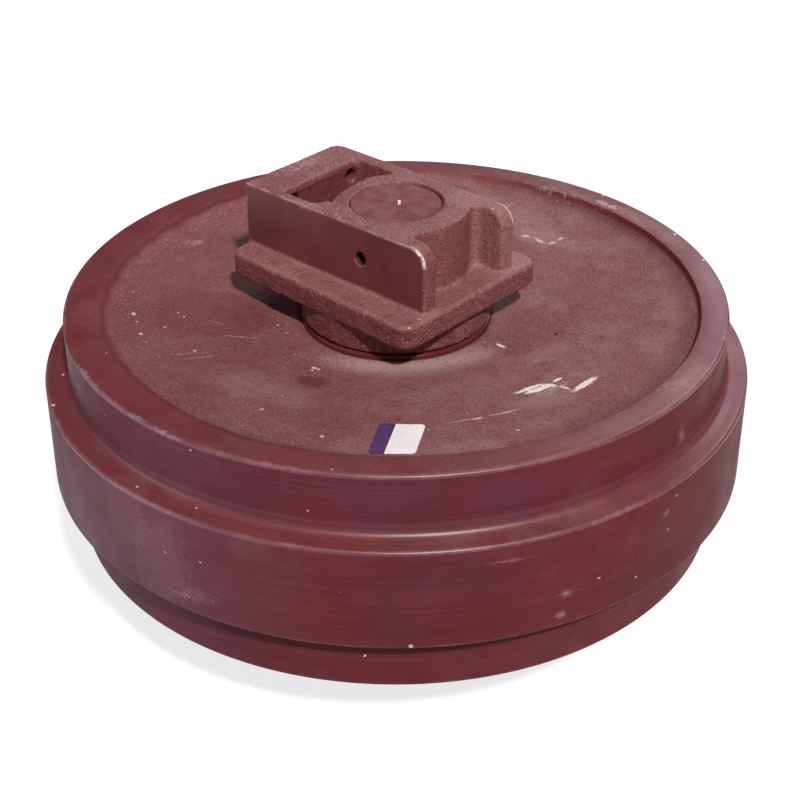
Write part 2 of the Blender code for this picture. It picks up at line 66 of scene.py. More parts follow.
# Sizes of the wheel's section
GAP = 0.3 * MM
TREAD_R = 274.0 * MM
FLANGE_TOP = 43.5 * MM
FLANGE_FILLET = 6.0 * MM
EDGE_ROUND = 2.2 * MM
RIM_FACE_R = 248.5 * MM
RIM_INNER_R = 258.0 * MM
DISH_FOOT_R = 239.5 * MM
DISH_AT_RIM = 89.0 * MM
DISH_AT_HUB = 73.5 * MM
RISE_TOP = HUB_TOP - 2.4 * MM
RISE_START_R = 98.0 * MM
RISE_END_R = 76.0 * MM
WEB_WALL = 12.0 * MM
CAVITY_FILLET = 14.0 * MM
STEEP_SIDE = Vector((0.743, 0.669, 0))
RECESS_SHIFT = STEEP_SIDE * 2.8 * MM
STEEP_PULL = 6.6 * MM
GENTLE_PULL = -7.0 * MM
STEEP_REACH = 35.0 * MM
HUB_LIP = 6.0 * MM
HUB_LIP_DROP = 1.6 * MM
RIM_FACE_ROUND = 1.6 * MM
DISH_FOOT_ROUND = 4.5 * MM
RIM_SHIFT_START_R = 252.0 * MM
RIM_SHIFT_END_R = 266.0 * MM
WHEEL_STEPS = 512
DISH_ROWS = 54
SHARP_ANGLE = 38

# Relief of the cast skins, in layers: depth in mm, size of its bumps in mm, shift of the pattern
DISH_RELIEF = ((0.55, 42, 0), (0.30, 15, 5), (0.16, 6, 9))
BRACKET_RELIEF = ((0.36, 19, 3), (0.30, 7, 8), (0.26, 3.4, 11))

# Sizes of the hub and the shaft
HOUSING_R = 66.6 * MM
HOUSING_FLOOR = 59.0 * MM
HUB_COLLAR = 25.0 * MM
WAIST_R = 62.0 * MM
BUSH_SEAT_R = 42.6 * MM
CHAMBER_R = 47.0 * MM
CHAMBER_TOP = 18.3 * MM
ROUND_STEPS = 128

# Sizes of the guide bracket
GUIDE_HALF = 55.0 * MM
LEDGE_TOP = 123.6 * MM
PLATE_BOTTOM = 102.1 * MM
SEAT_TOP = PLATE_BOTTOM - 21.0 * MM
VOXEL = 1.46 * MM
ROUGH_PATCH = Vector((-108, 2, 177)) * MM
GUIDE_FRONT = 78.5 * MM
NOSE_R = 14.0 * MM
PIN_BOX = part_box("lock_pin_upper")
PIN_X = (PIN_BOX[0].x + PIN_BOX[1].x) / 2
PIN_Z = (PIN_BOX[0].z + PIN_BOX[1].z) / 2
PIN_R = (PIN_BOX[1].x - PIN_BOX[0].x) / 2

# The label in the dish: its corners, read from the photo, then its rounding, lift and thickness
LABEL_CORNERS = [Vector(corner) * MM for corner in ((116.4, -147.1, 0), (142.2, -189.0, 0),
                                                    (168.7, -167.1, 0), (143.6, -126.5, 0))]
LABEL_ROUND = 4.0 * MM
LABEL_LIFT = 0.25 * MM
LABEL_WALL = 0.12 * MM
LABEL_GRID = (26, 36)
LABEL_BAND = 0.35

# The studio: what the floor and the backdrop give off, the lamps and the camera, which was solved
# from the photo's circles
FLOOR_GLOW = 0.78
BACKDROP_LIGHT = 0.16
KEY_POWER = 3.85
KEY_COLOUR = (1.0, 0.97, 0.93)
KEY_DIRECTION = Vector((-0.78, 0.50, -1))
# Lamp panels: name, power, width, height, place, colour
PANELS = (("Sheen light", 12, 1.2, 0.7, (-0.70, 1.75, 1.15), (0.95, 0.95, 1.0)),
          ("Fill light", 7, 1.4, 1.0, (-1.30, -1.9, 0.50), (0.95, 0.94, 1.0)))
LENS = 76.095
CAMERA_PLACE = (0.83699, -0.92521, 0.75301)
CAMERA_TURN = (58.54, 0.1194, 41.927)


def make_object(name, solid, material):
    """Turn a bmesh into a smooth-shaded object with one material."""
    mesh = bpy.data.meshes.new(name)
    solid.to_mesh(mesh)
    solid.free()
    mesh.materials.append(material)
    mesh.shade_smooth()
    mesh.set_sharp_from_angle(angle=math.radians(SHARP_ANGLE))
    thing = bpy.data.objects.new(name, mesh)
    bpy.context.scene.collection.objects.link(thing)
    return thing


def spun(section, steps):
    """Spin a closed section of (radius, height) corners round the wheel's axis."""
    solid = bmesh.new()
    corners = [solid.verts.new((radius, 0, height)) for radius, height in section]
    edges = [solid.edges.new(pair) for pair in zip(corners, corners[1:] + corners[:1])]
    bmesh.ops.spin(solid, geom=corners + edges, cent=(0, 0, 0), axis=(0, 0, 1), angle=math.tau,
                   steps=steps, use_merge=True)
    bmesh.ops.remove_doubles(solid, verts=solid.verts, dist=0.01 * MM)
    bmesh.ops.recalc_face_normals(solid, faces=solid.faces)
    return solid


def round_rings(solid, rings, segments):
    """Round the circular edges at each (radius, height, width)."""
    for radius, height, width in rings:
        chosen = []
        for edge in solid.edges:
            ends = [(vert.co.xy.length, vert.co.z) for vert in edge.verts]
            if all(abs(r - radius) < GAP and abs(z - height) < GAP for r, z in ends):
                chosen.append(edge)
        bmesh.ops.bevel(solid, geom=chosen, offset=width, offset_type="OFFSET", segments=segments,
                        affect="EDGES", profile=0.5, material=-1, clamp_overlap=True)


def ramp(value, start, end):
    """Rise smoothly from 0 at start to 1 at end."""
    share = min(max((value - start) / (end - start), 0), 1)
    return share * share * (3 - 2 * share)


def relief(place, layers, seed=0.0):
    """Give the height in millimetres of a cast skin, in layers of smooth noise."""
    height = 0
    for depth, size, shift in layers:
        turn = seed + shift
        height += depth * noise.noise(place / (size * MM) + Vector((turn, -turn, turn)))
    return height


def wheel_casting(side, seed):
    """Spin half of the wheel, then give its dish the unevenness of a sand casting."""
    inner_r = HUB_R + GAP
    cavity_top = DISH_AT_RIM - WEB_WALL
    section = [(inner_r, DISH_AT_HUB), (DISH_FOOT_R, DISH_AT_RIM), (RIM_FACE_R, RIM_TOP)]
    section += [(TREAD_R, RIM_TOP), (TREAD_R, FLANGE_TOP), (FLANGE_R, FLANGE_TOP), (FLANGE_R, 0)]
    section += [(RIM_INNER_R, 0), (RIM_INNER_R, cavity_top - CAVITY_FILLET)]
    section += [(RIM_INNER_R - CAVITY_FILLET, cavity_top), (inner_r, DISH_AT_HUB - WEB_WALL)]
    solid = spun(section, WHEEL_STEPS)
    round_rings(solid, [(TREAD_R, RIM_TOP, EDGE_ROUND), (FLANGE_R, FLANGE_TOP, EDGE_ROUND)], 4)
    round_rings(solid, [(TREAD_R, FLANGE_TOP, FLANGE_FILLET)], 6)
    round_rings(solid, [(RIM_FACE_R, RIM_TOP, RIM_FACE_ROUND)], 3)
    round_rings(solid, [(DISH_FOOT_R, DISH_AT_RIM, DISH_FOOT_ROUND)], 4)
    spokes = []
    for edge in solid.edges:
        radii = [vert.co.xy.length for vert in edge.verts]
        heights = [vert.co.z for vert in edge.verts]
        if min(heights) > DISH_AT_HUB - GAP and max(radii) - min(radii) > 100 * MM:
            spokes.append(edge)
    bmesh.ops.subdivide_edges(solid, edges=spokes, cuts=DISH_ROWS, use_grid_fill=True)
    for vert in solid.verts:
        radius = vert.co.xy.length
        if vert.co.z < DISH_AT_HUB - GAP or radius > TREAD_R - 4 * MM:
            continue
        place = vert.co.copy()
        inside = ramp(radius, inner_r, inner_r + HUB_LIP) * (1 - ramp(radius, DISH_FOOT_R, RIM_FACE_R))
        lift = relief(place, DISH_RELIEF, seed)
        rise = (RISE_TOP - DISH_AT_HUB) * ramp(-radius, -RISE_START_R, -RISE_END_R)
        rise -= HUB_LIP_DROP * ramp(-radius, -HUB_R - 4 * MM, -inner_r)
        vert.co.z += lift * inside * MM + rise
        out = Vector((place.x, place.y, 0)).normalized()
        toward = out.dot(STEEP_SIDE)
        pull = STEEP_PULL * ramp(toward, 0.1, 0.6) + GENTLE_PULL * ramp(-toward, 0.2, 0.8)
        if radius < DISH_FOOT_R:
            pull *= ramp(radius, DISH_FOOT_R - STEEP_REACH, DISH_FOOT_R)
        else:
            pull *= max(1 - (radius - DISH_FOOT_R) / (RIM_FACE_R - DISH_FOOT_R), 0)
        vert.co += out * pull
        shifted = ramp(radius, DISH_FOOT_R - 25 * MM, DISH_FOOT_R)
        shifted *= 1 - ramp(radius, RIM_SHIFT_START_R, RIM_SHIFT_END_R)
        vert.co += RECESS_SHIFT * shifted
    if side < 0:
        bmesh.ops.scale(solid, vec=(1, 1, -1), verts=solid.verts)
        bmesh.ops.reverse_faces(solid, faces=solid.faces)
    return solid


def hub_turning():
    """Spin the hub with its two seal housings, bush seats and oil chamber."""
    waist_top = HUB_TOP - HUB_COLLAR
    upper = [(HUB_R, HUB_TOP), (HUB_R, waist_top), (WAIST_R, waist_top - HUB_R + WAIST_R)]
    inner = [(CHAMBER_R, CHAMBER_TOP), (BUSH_SEAT_R, CHAMBER_TOP), (BUSH_SEAT_R, HOUSING_FLOOR)]
    inner += [(HOUSING_R, HOUSING_FLOOR), (HOUSING_R, HUB_TOP)]
    section = upper + [(r, -z) for r, z in reversed(upper)]
    section += [(r, -z) for r, z in reversed(inner)] + inner
    solid = spun(section, ROUND_STEPS)
    round_rings(solid, [(HUB_R, HUB_TOP, 1.6 * MM), (HUB_R, -HUB_TOP, 1.6 * MM)], 4)
    return solid


def cast_bracket(node, side):
    """Remesh a bracket finely, soften its edges and give its skin the relief of a sand casting."""
    solid = bmesh.new()
    solid.from_mesh(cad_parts[node].data)
    bmesh.ops.remove_doubles(solid, verts=solid.verts, dist=0.01 * MM)
    mesh = bpy.data.meshes.new("bracket_core")
    solid.to_mesh(mesh)
    solid.free()
    core = bpy.data.objects.new("bracket_core", mesh)
    bpy.context.scene.collection.objects.link(core)
    remesh = core.modifiers.new("Skin", "REMESH")
    remesh.mode = "VOXEL"
    remesh.voxel_size = VOXEL
    graph = bpy.context.evaluated_depsgraph_get()
    skin = bpy.data.meshes.new_from_object(core.evaluated_get(graph))
    bpy.data.objects.remove(core, do_unlink=True)
    solid = bmesh.new()
    solid.from_mesh(skin)
    bpy.data.meshes.remove(skin)
    for _ in range(2):
        bmesh.ops.smooth_vert(solid, verts=solid.verts, factor=0.5, use_axis_x=True, use_axis_y=True,
                              use_axis_z=True)
    solid.normal_update()
    moves = []
    for vert in solid.verts:
        height = vert.co.z * side
        out = abs(vert.co.y)
        machined = height > LEDGE_TOP + 2 * MM and abs(out - GUIDE_HALF) < 1.2 * MM
        if machined and abs(vert.normal.y) > 0.93:
            moves.append((vert, Vector((0, math.copysign(GUIDE_HALF, vert.co.y) - vert.co.y, 0))))
            continue
        if vert.co.xy.length < SHAFT_R + 2 * MM or height < SEAT_TOP:
            continue
        rough = 1.0
        if height > BRACKET_TOP - 1.5 * MM:
            place = vert.co.copy()
            place.z = height
            rough = 0.55 + 1.3 * (1 - ramp((place - ROUGH_PATCH).length, 14 * MM, 30 * MM))
        if height < LEDGE_TOP - 2 * MM and abs(vert.normal.z) < 0.5:
            rough = 2.0
        moves.append((vert, vert.normal * relief(vert.co, BRACKET_RELIEF) * rough * MM))
    for vert, move in moves:
        vert.co += move
    return solid


def label_sheet(casting):
    """Lay a thin sheet with round corners on the dish."""
    solid = bmesh.new()
    bmesh.ops.create_grid(solid, x_segments=LABEL_GRID[0], y_segments=LABEL_GRID[1],
                          size=1.0)
    tree = BVHTree.FromPolygons([vert.co.copy() for vert in casting.data.vertices],
                                [tuple(face.vertices) for face in casting.data.polygons])
    first, second, third, fourth = LABEL_CORNERS
    wide = (second - first).length / 2
    tall = (fourth - first).length / 2
    uv = solid.loops.layers.uv.new("label")
    for vert in solid.verts:
        for loop in vert.link_loops:
            loop[uv].uv = ((vert.co.x + 1) / 2, (vert.co.y + 1) / 2)
    for vert in solid.verts:
        x = vert.co.x * wide
        y = vert.co.y * tall
        over_x = abs(x) - (wide - LABEL_ROUND)
        over_y = abs(y) - (tall - LABEL_ROUND)
        if over_x > 0 and over_y > 0:
            shrink = min(LABEL_ROUND / math.hypot(over_x, over_y), 1)
            x = math.copysign(wide - LABEL_ROUND + over_x * shrink, x)
            y = math.copysign(tall - LABEL_ROUND + over_y * shrink, y)
        across = (x / wide + 1) / 2
        along = (y / tall + 1) / 2
        low = first.lerp(second, across)
        high = fourth.lerp(third, across)
        place = low.lerp(high, along)
        hit = tree.ray_cast(Vector((place.x, place.y, BRACKET_TOP)), -UP)
        vert.co = hit[0] + UP * (LABEL_LIFT + LABEL_WALL)
    bmesh.ops.recalc_face_normals(solid, faces=solid.faces)
    solid.normal_update()
    if sum(face.normal.z for face in solid.faces) < 0:
        bmesh.ops.reverse_faces(solid, faces=solid.faces)
    lower = bmesh.ops.extrude_face_region(solid, geom=list(solid.faces), use_keep_orig=True)
    down = [item for item in lower["geom"] if isinstance(item, bmesh.types.BMVert)]
    bmesh.ops.translate(solid, verts=down, vec=-UP * LABEL_WALL)
    bmesh.ops.recalc_face_normals(solid, faces=solid.faces)
    return solid


# One over the noise scales along, across and down a fine scratch
SCRATCH_SPAN = (1 / 90, 1 / 1100, 1)


class Nodes:
    """Nodes of one tree. Each helper adds what it needs and gives the output to go on with."""

    def __init__(self, tree, result):
        self.tree = tree
        self.result = result

    def add(self, kind, options=None, sockets=None):
        """Add a node. A socket is given a number or a colour, or is linked to another node's output."""
        made = self.tree.nodes.new("ShaderNode" + kind)
        for name, value in (options or {}).items():
            setattr(made, name, value)
        for name, value in (sockets or {}).items():
            if isinstance(value, bpy.types.NodeSocket):
                self.tree.links.new(value, made.inputs[name])
            else:
                made.inputs[name].default_value = value
        return made

    def give(self, label, value):
        """Link a value to what the tree puts out, or to its shader."""
        self.tree.links.new(value, self.result[label])

    def place(self):
        """The place on the piece."""
        return self.add("TexCoord").outputs["Object"]

    def noise(self, place, scale, detail=3.0, roughness=0.55):
        """Soft noise."""
        sockets = {"Vector": place, "Scale": scale, "Detail": detail, "Roughness": roughness}
        return self.add("TexNoise", sockets=sockets).outputs["Fac"]

    def between(self, value, low, high, start=0.0, end=1.0):
        """Stretch the span from low to high over start to end, held at both ends."""
        sockets = {"Value": value, "From Min": low, "From Max": high, "To Min": start, "To Max": end}
        return self.add("MapRange", {"interpolation_type": "SMOOTHSTEP"}, sockets).outputs["Result"]

    def math(self, operation, first, second=0.0):
        """Join two values by an operation."""
        return self.add("Math", {"operation": operation}, {0: first, 1: second}).outputs["Value"]

    def times(self, first, second):
        """Multiply two values."""
        return self.math("MULTIPLY", first, second)

    def plus(self, first, second):
        """Add two values."""
        return self.math("ADD", first, second)

    def minus(self, first, second):
        """Take the second value from the first."""
        return self.math("SUBTRACT", first, second)

    def size(self, value):
        """A value without its sign."""
        return self.math("ABSOLUTE", value)

    def vector(self, operation, first, second=(0, 0, 0), output="Vector"):
        """Join two vectors by an operation."""
        return self.add("VectorMath", {"operation": operation}, {0: first, 1: second}).outputs[output]

    def along(self, place, direction):
        """How far a place lies along a direction."""
        return self.vector("DOT_PRODUCT", place, direction, "Value")

    def from_axis(self, place):
        """How far a place lies from the wheel's axis."""
        return self.vector("LENGTH", self.vector("MULTIPLY", place, (1, 1, 0)), output="Value")

    def parts(self, place):
        """The outputs with X, Y and Z of a vector."""
        return self.add("SeparateXYZ", sockets={"Vector": place}).outputs

    def joined(self, x, y, z=0.0):
        """A vector of its parts."""
        return self.add("CombineXYZ", sockets={"X": x, "Y": y, "Z": z}).outputs["Vector"]

    def apart(self, x, y, z=0.0):
        """The length of a vector of its parts."""
        return self.vector("LENGTH", self.joined(x, y, z), output="Value")

    def mixed(self, share, first, second):
        """Mix two colours."""
        made = self.add("Mix", {"data_type": "RGBA"}, {"Factor": share, 6: first, 7: second})
        return made.outputs[2]

    def blend(self, share, first, second):
        """Mix two values."""
        return self.add("Mix", sockets={"Factor": share, 2: first, 3: second}).outputs[0]

    def use(self, group, **sockets):
        """Place a group with its own values."""
        values = {name.capitalize(): value for name, value in sockets.items()}
        return self.add("Group", {"node_tree": group}, values).outputs


def new_group(name, inputs, outputs):
    """Start a shader node group with named inputs and outputs."""
    group = bpy.data.node_groups.new(name, "ShaderNodeTree")
    for label, value in inputs.items():
        kind = "NodeSocketVector" if isinstance(value, tuple) else "NodeSocketFloat"
        group.interface.new_socket(label, in_out="INPUT", socket_type=kind).default_value = value
    for label in outputs:
        group.interface.new_socket(label, in_out="OUTPUT", socket_type="NodeSocketFloat")
    given = group.nodes.new("NodeGroupInput").outputs
    return Nodes(group, group.nodes.new("NodeGroupOutput").inputs), given


def grain_group():
    """Sand grain of a casting under paint: a height, and a mask of its pits."""
    n, given = new_group("Cast grain", {"Grain": 420.0, "Pits": 0.5}, ("Height", "Hollows"))
    place = n.place()
    fine = n.noise(place, given["Grain"], 5.0, 0.65)
    coarse = n.noise(place, 95.0, 3.0, 0.6)
    cells = n.add("TexVoronoi", {"feature": "SMOOTH_F1"},
                  {"Vector": place, "Scale": 260.0, "Smoothness": 0.6}).outputs["Distance"]
    pits = n.between(cells, 0.30, 0.05)
    height = n.plus(n.times(fine, 0.6), n.times(coarse, 0.8))
    height = n.minus(height, n.times(pits, given["Pits"]))
    n.give("Height", height)
    n.give("Hollows", n.between(height, 0.62, 0.42))
    return n.tree


def turning_group():
    """Fine lathe lines that run round the axis: a height and a streak mask."""
    n, given = new_group("Turning lines", {"Lines": 900.0, "Waver": 3.0}, ("Height", "Streaks"))
    place = n.place()
    parts = n.parts(place)
    radius = n.apart(parts["X"], parts["Y"])
    along = n.times(n.plus(radius, parts["Z"]), given["Lines"])
    round_x = n.times(parts["X"], given["Waver"])
    round_y = n.times(parts["Y"], given["Waver"])
    lines = n.noise(n.joined(round_x, round_y, along), 1.0, 4.0, 0.7)
    n.give("Height", lines)
    n.give("Streaks", n.between(lines, 0.40, 0.66))
    return n.tree


def wear_group():
    """Where edges are rubbed: a soft band along them, which also serves as a painted highlight, and small
    bare chips on them.
    """
    n, given = new_group("Worn edges", {"Start": 0.52, "Full": 0.60, "Chips": 0.62}, ("Rubbed", "Bare"))
    place = n.place()
    keen = n.add("NewGeometry").outputs["Pointiness"]
    band = n.between(keen, given["Start"], given["Full"])
    patchy = n.between(n.noise(place, 45.0, 4.0, 0.65), 0.35, 0.62)
    n.give("Rubbed", n.times(band, patchy))
    spots = n.noise(place, 110.0, 5.0, 0.75)
    chips = n.math("GREATER_THAN", spots, given["Chips"])
    n.give("Bare", n.times(band, chips))
    return n.tree


def turned_edge_group():
    """Wear and a painted highlight on a turned edge, which is a circle of a given radius and height round
    the axis.
    """
    inputs = {"Radius": 0.27, "Height": 0.095, "Reach": 0.003, "Chips": 0.62}
    n, given = new_group("Turned edge", inputs, ("Rubbed", "Bare", "Band"))
    place = n.place()
    parts = n.parts(place)
    radius = n.apart(parts["X"], parts["Y"])
    out = n.minus(radius, given["Radius"])
    high = n.minus(n.size(parts["Z"]), given["Height"])
    apart = n.apart(out, high)
    share = n.math("DIVIDE", apart, given["Reach"])
    n.give("Band", n.between(share, 1.3, 0.8))
    ragged = n.noise(place, 160.0, 5.0, 0.7)
    band = n.between(n.plus(share, n.between(ragged, 0.3, 0.7, -0.35, 0.35)), 1.0, 0.35)
    patchy = n.between(n.noise(place, 16.0, 4.0, 0.65), 0.40, 0.62, 0.15, 1.0)
    n.give("Rubbed", n.times(band, patchy))
    spots = n.noise(place, 42.0, 6.0, 0.75)
    bare = n.times(band, n.math("GREATER_THAN", spots, given["Chips"]))
    n.give("Bare", bare)
    return n.tree


def dust_group():
    """Dust that settles on faces that look up, in soft blotches."""
    n, given = new_group("Settled dust", {"Amount": 0.6, "Blotches": 14.0, "Sides": 0.0}, ("Mask",))
    coord = n.add("TexCoord")
    facing = n.along(coord.outputs["Normal"], UP)
    sides = n.times(n.between(facing, -0.6, -0.1), given["Sides"])
    level = n.math("MAXIMUM", n.between(facing, 0.35, 0.97), sides)
    broad = n.between(n.noise(coord.outputs["Object"], given["Blotches"], 5.0, 0.62), 0.34, 0.66)
    fine = n.between(n.noise(coord.outputs["Object"], 480.0, 3.0, 0.65), 0.35, 0.65)
    cover = n.plus(n.times(broad, 0.62), n.times(fine, 0.38))
    n.give("Mask", n.times(n.times(cover, level), given["Amount"]))
    return n.tree


def fleck_group():
    """Small scattered flecks, such as chips and grit."""
    n, given = new_group("Flecks", {"Spacing": 30.0, "Share": 0.2, "Size": 0.12}, ("Mask",))
    place = n.place()
    bent = n.add("TexNoise", sockets={"Vector": place, "Scale": 300.0, "Detail": 2.0})
    shift = n.add("VectorMath", {"operation": "SCALE"},
                  {0: bent.outputs["Color"], "Scale": 3.5 * MM}).outputs["Vector"]
    moved = n.vector("ADD", place, shift)
    cells = n.add("TexVoronoi", sockets={"Vector": moved, "Scale": given["Spacing"]}).outputs
    chosen = n.add("SeparateColor", sockets={"Color": cells["Color"]}).outputs
    here = n.math("LESS_THAN", chosen["Red"], given["Share"])
    reach = n.times(given["Size"], n.plus(chosen["Green"], 0.25))
    spot = n.math("LESS_THAN", cells["Distance"], reach)
    n.give("Mask", n.times(here, spot))
    return n.tree


def rubbed_mark_group():
    """One mark on the piece: a ragged patch, a broken patch, and fine scratches that run along it."""
    inputs = {"Centre": (0.0, 0.0, 0.0), "Along": (1.0, 0.0, 0.0), "Across": (0.0, 1.0, 0.0),
              "Spin": (0.0, 0.0, 0.0), "Length": 0.03, "Width": 0.008, "Depth": 0.03, "Bend": 0.0,
              "Cover": 0.5, "Ragged": 0.6}
    n, given = new_group("Rubbed mark", inputs, ("Patch", "Broken", "Scratches"))
    place = n.place()
    moved = n.vector("SUBTRACT", place, given["Centre"])
    run = n.along(moved, given["Along"])
    bow = n.times(n.times(run, run), given["Bend"])
    straight = n.minus(n.along(moved, given["Across"]), bow)
    along = n.math("DIVIDE", run, given["Length"])
    across = n.math("DIVIDE", straight, given["Width"])
    deep = n.math("DIVIDE", n.along(moved, UP), given["Depth"])
    spread = n.apart(along, across, deep)
    edge = n.minus(n.noise(place, 75.0, 6.0, 0.72), 0.5)
    frayed = n.minus(n.noise(place, 480.0, 3.0, 0.7), 0.5)
    edge = n.plus(edge, frayed)
    spread = n.plus(spread, n.times(edge, given["Ragged"]))
    patch = n.between(spread, 1.0, 0.82)
    n.give("Patch", patch)
    holes = n.plus(n.noise(place, 260.0, 5.0, 0.75), n.times(spread, -0.16))
    n.give("Broken", n.times(patch, n.between(holes, 0.38, 0.46)))
    path = n.add("Mapping", {"vector_type": "TEXTURE"},
                 {"Vector": place, "Location": given["Centre"], "Rotation": given["Spin"],
                  "Scale": SCRATCH_SPAN}).outputs["Vector"]
    streaks = n.noise(path, 1.0, 5.0, 0.7)
    fade = n.between(spread, 1.0, 0.0)
    cut = n.plus(streaks, n.times(fade, given["Cover"]))
    scratches = n.times(n.between(fade, 0.0, 0.12), n.between(cut, 0.60, 0.84))
    n.give("Scratches", scratches)
    return n.tree


CAST_GRAIN = grain_group()
TURNING_LINES = turning_group()
WORN_EDGES = wear_group()
TURNED_EDGE = turned_edge_group()
SETTLED_DUST = dust_group()
FLECKS = fleck_group()
RUBBED_MARK = rubbed_mark_group()

# Colours, linear
PAINT = (0.138, 0.022, 0.028, 1)
PAINT_DARK_AND_SHADE = (0.088, 0.013, 0.017, 1)
PLUM_SHEEN = (0.118, 0.027, 0.050, 1)
CAST_SKIN = (0.165, 0.045, 0.048, 1)
DUSTY_AND_SHEEN = (0.265, 0.128, 0.126, 1)
MAUVE_SHEEN = (0.26, 0.135, 0.180, 1)
SHADED_SKIN = (0.105, 0.032, 0.038, 1)
PALE_DUST_AND_SHEEN = (0.46, 0.33, 0.31, 1)
RUBBED_AND_HIGHLIGHT = (0.34, 0.17, 0.18, 1)
BARE_STEEL = (0.21, 0.20, 0.16, 1)
WORN_TAN = (0.30, 0.20, 0.15, 1)
STAIN = (0.085, 0.022, 0.018, 1)
GRIT = (0.60, 0.50, 0.42, 1)
CHALK_AND_GLINT = (0.80, 0.74, 0.70, 1)
SOOT = (0.030, 0.020, 0.020, 1)
BRACKET_SKIN = (0.186, 0.047, 0.049, 1)
BRACKET_DUST_AND_LIGHT = (0.275, 0.112, 0.108, 1)
PIN_HOLE_SHADE = (0.045, 0.010, 0.011, 1)
GREY_RUB = (0.30, 0.25, 0.22, 1)
RUST = (0.26, 0.085, 0.045, 1)
HUB_RED = (0.090, 0.012, 0.014, 1)
GROUND_STEEL = (0.46, 0.45, 0.44, 1), (0.3, 0.29, 0.28, 1)
PAPER = (0.86, 0.83, 0.83, 1), (0.66, 0.62, 0.63, 1)
INK = (0.065, 0.022, 0.115, 1), (0.12, 0.05, 0.13, 1)
PIN_PRIMER = (0.040, 0.012, 0.013, 1), (0.065, 0.022, 0.022, 1)
STEEL_TONES = (0.20, 0.19, 0.18, 1), (0.12, 0.115, 0.11, 1)
BRONZE_TONES = (0.55, 0.36, 0.16, 1), (0.42, 0.26, 0.11, 1)
IRON_TONES = (0.35, 0.35, 0.36, 1), (0.27, 0.27, 0.28, 1)
BLACK_RUBBER = (0.016, 0.016, 0.017, 1), (0.045, 0.044, 0.042, 1)
FLOOR_GREY = (0.27, 0.27, 0.27, 1), (0.30, 0.30, 0.30, 1)
BACKDROP = (0.97, 0.98, 1.0, 1)

# Directions across the wheel, as the camera sees it
FRONT_RIGHT = Vector((0.743, -0.669, 0))
# The dish's dust and painted sheen grow towards this side
DUST_AND_SHEEN_SIDE = Vector((0.88, 0.47, 0))

# Turned edges: radius, height, reach of the wear and painted highlight in mm, chips (none from 1 up)
TURNED_EDGES = ((TREAD_R, RIM_TOP, 3.0, 0.66), (FLANGE_R, FLANGE_TOP, 3.0, 0.68),
                (TREAD_R + 3 * MM, FLANGE_TOP + 3 * MM, 8.0, 2.0))

# Scattered flecks: spacing, share of the places that hold one, size, tint
WHEEL_FLECKS = ((24.0, 0.18, 0.030, GRIT), (60.0, 0.10, 0.055, CHALK_AND_GLINT), (90.0, 0.10, 0.07, SOOT))
BRACKET_FLECKS = ((60.0, 0.14, 0.07, GRIT), (230.0, 0.14, 0.14, PALE_DUST_AND_SHEEN))

# White scratches on the wheel: place, turn, half length, half width, bow, cover
SCRATCHES = [
    ((166, -32, 83), 75, 19, 3.6, 0, 0.78), ((173, -28, 83), 73, 18, 4.2, 0, 0.80),
    ((175, -19, 83), 35, 9, 4.4, 0, 0.76), ((187, -15, 84), 4, 9, 2.2, -14, 0.50),
    ((197, -2, 85), 90, 21, 4.8, 0, 0.78), ((175, -8, 83), 84, 8, 2.6, 0, 0.60),
    ((180, -24, 84), 78, 34, 11, 0, 0.24), ((101, 14, 77), -7, 8, 2.4, 22, 0.66),
    ((176, -74, 85), 65, 24, 2.4, 3, 0.30), ((167, -94, 85), 60, 7, 2.2, 0, 0.42),
    ((239, -55, 89), 72, 18, 2.0, 0, 0.26), ((160, -104, 84), 64, 24, 2.2, 0, 0.24),
    ((-1, 175, 83), 26, 8, 4.0, 0, 0.36), ((14, 176, 83), -12, 13, 4.6, 8, 0.38),
    ((26, 179, 84), 64, 8, 4.0, 0, 0.36), ((28, 189, 85), 88, 7, 3.6, 0, 0.34),
    ((-94, -118, 81), 24, 24, 2.2, 0, 0.20), ((-63, -120, 80), 43, 26, 2.6, 4, 0.24),
    ((-68, -172, 84), 57, 30, 3.6, 3, 0.20), ((-57, -169, 83), 70, 32, 3.4, 4, 0.20),
    ((-80, -150, 83), 62, 40, 6.0, 3, 0.14), ((95, -110, 82), 20, 32, 2.6, 2, 0.14)]

# Soft patches in the dish: place, turn, half length, half width, ragged edge, tint, strength
STAINS = [
    ((-106, -112, 82), 44, 60, 44, 0.9, PAINT, 0.40),
    ((30, -131, 80), 20, 13, 10, 1.3, STAIN, 0.50), ((28, -131, 80), 15, 18, 13, 1.8, STAIN, 0.22),
    ((15, -165, 84), 10, 34, 9, 1.6, DUSTY_AND_SHEEN, 0.30),
    ((188, -40, 85), 60, 26, 12, 1.4, PALE_DUST_AND_SHEEN, 0.14),
    ((-40, 196, 86), 0, 60, 20, 1.4, PALE_DUST_AND_SHEEN, 0.16),
    ((24, -290, -8), 5, 32, 22, 1.9, PALE_DUST_AND_SHEEN, 0.08),
    ((-10, -292, 22), -2, 26, 20, 1.8, PALE_DUST_AND_SHEEN, 0.05),
    ((15, 182, 84), 10, 32, 14, 1.6, PALE_DUST_AND_SHEEN, 0.16),
    ((96, -60, 80), 40, 60, 30, 1.4, DUSTY_AND_SHEEN, 0.18),
    ((8, -168, 83), 15, 50, 26, 1.6, PALE_DUST_AND_SHEEN, 0.11),
    ((-144, -175, 88), -39, 60, 20, 1.3, PAINT, 0.18)]

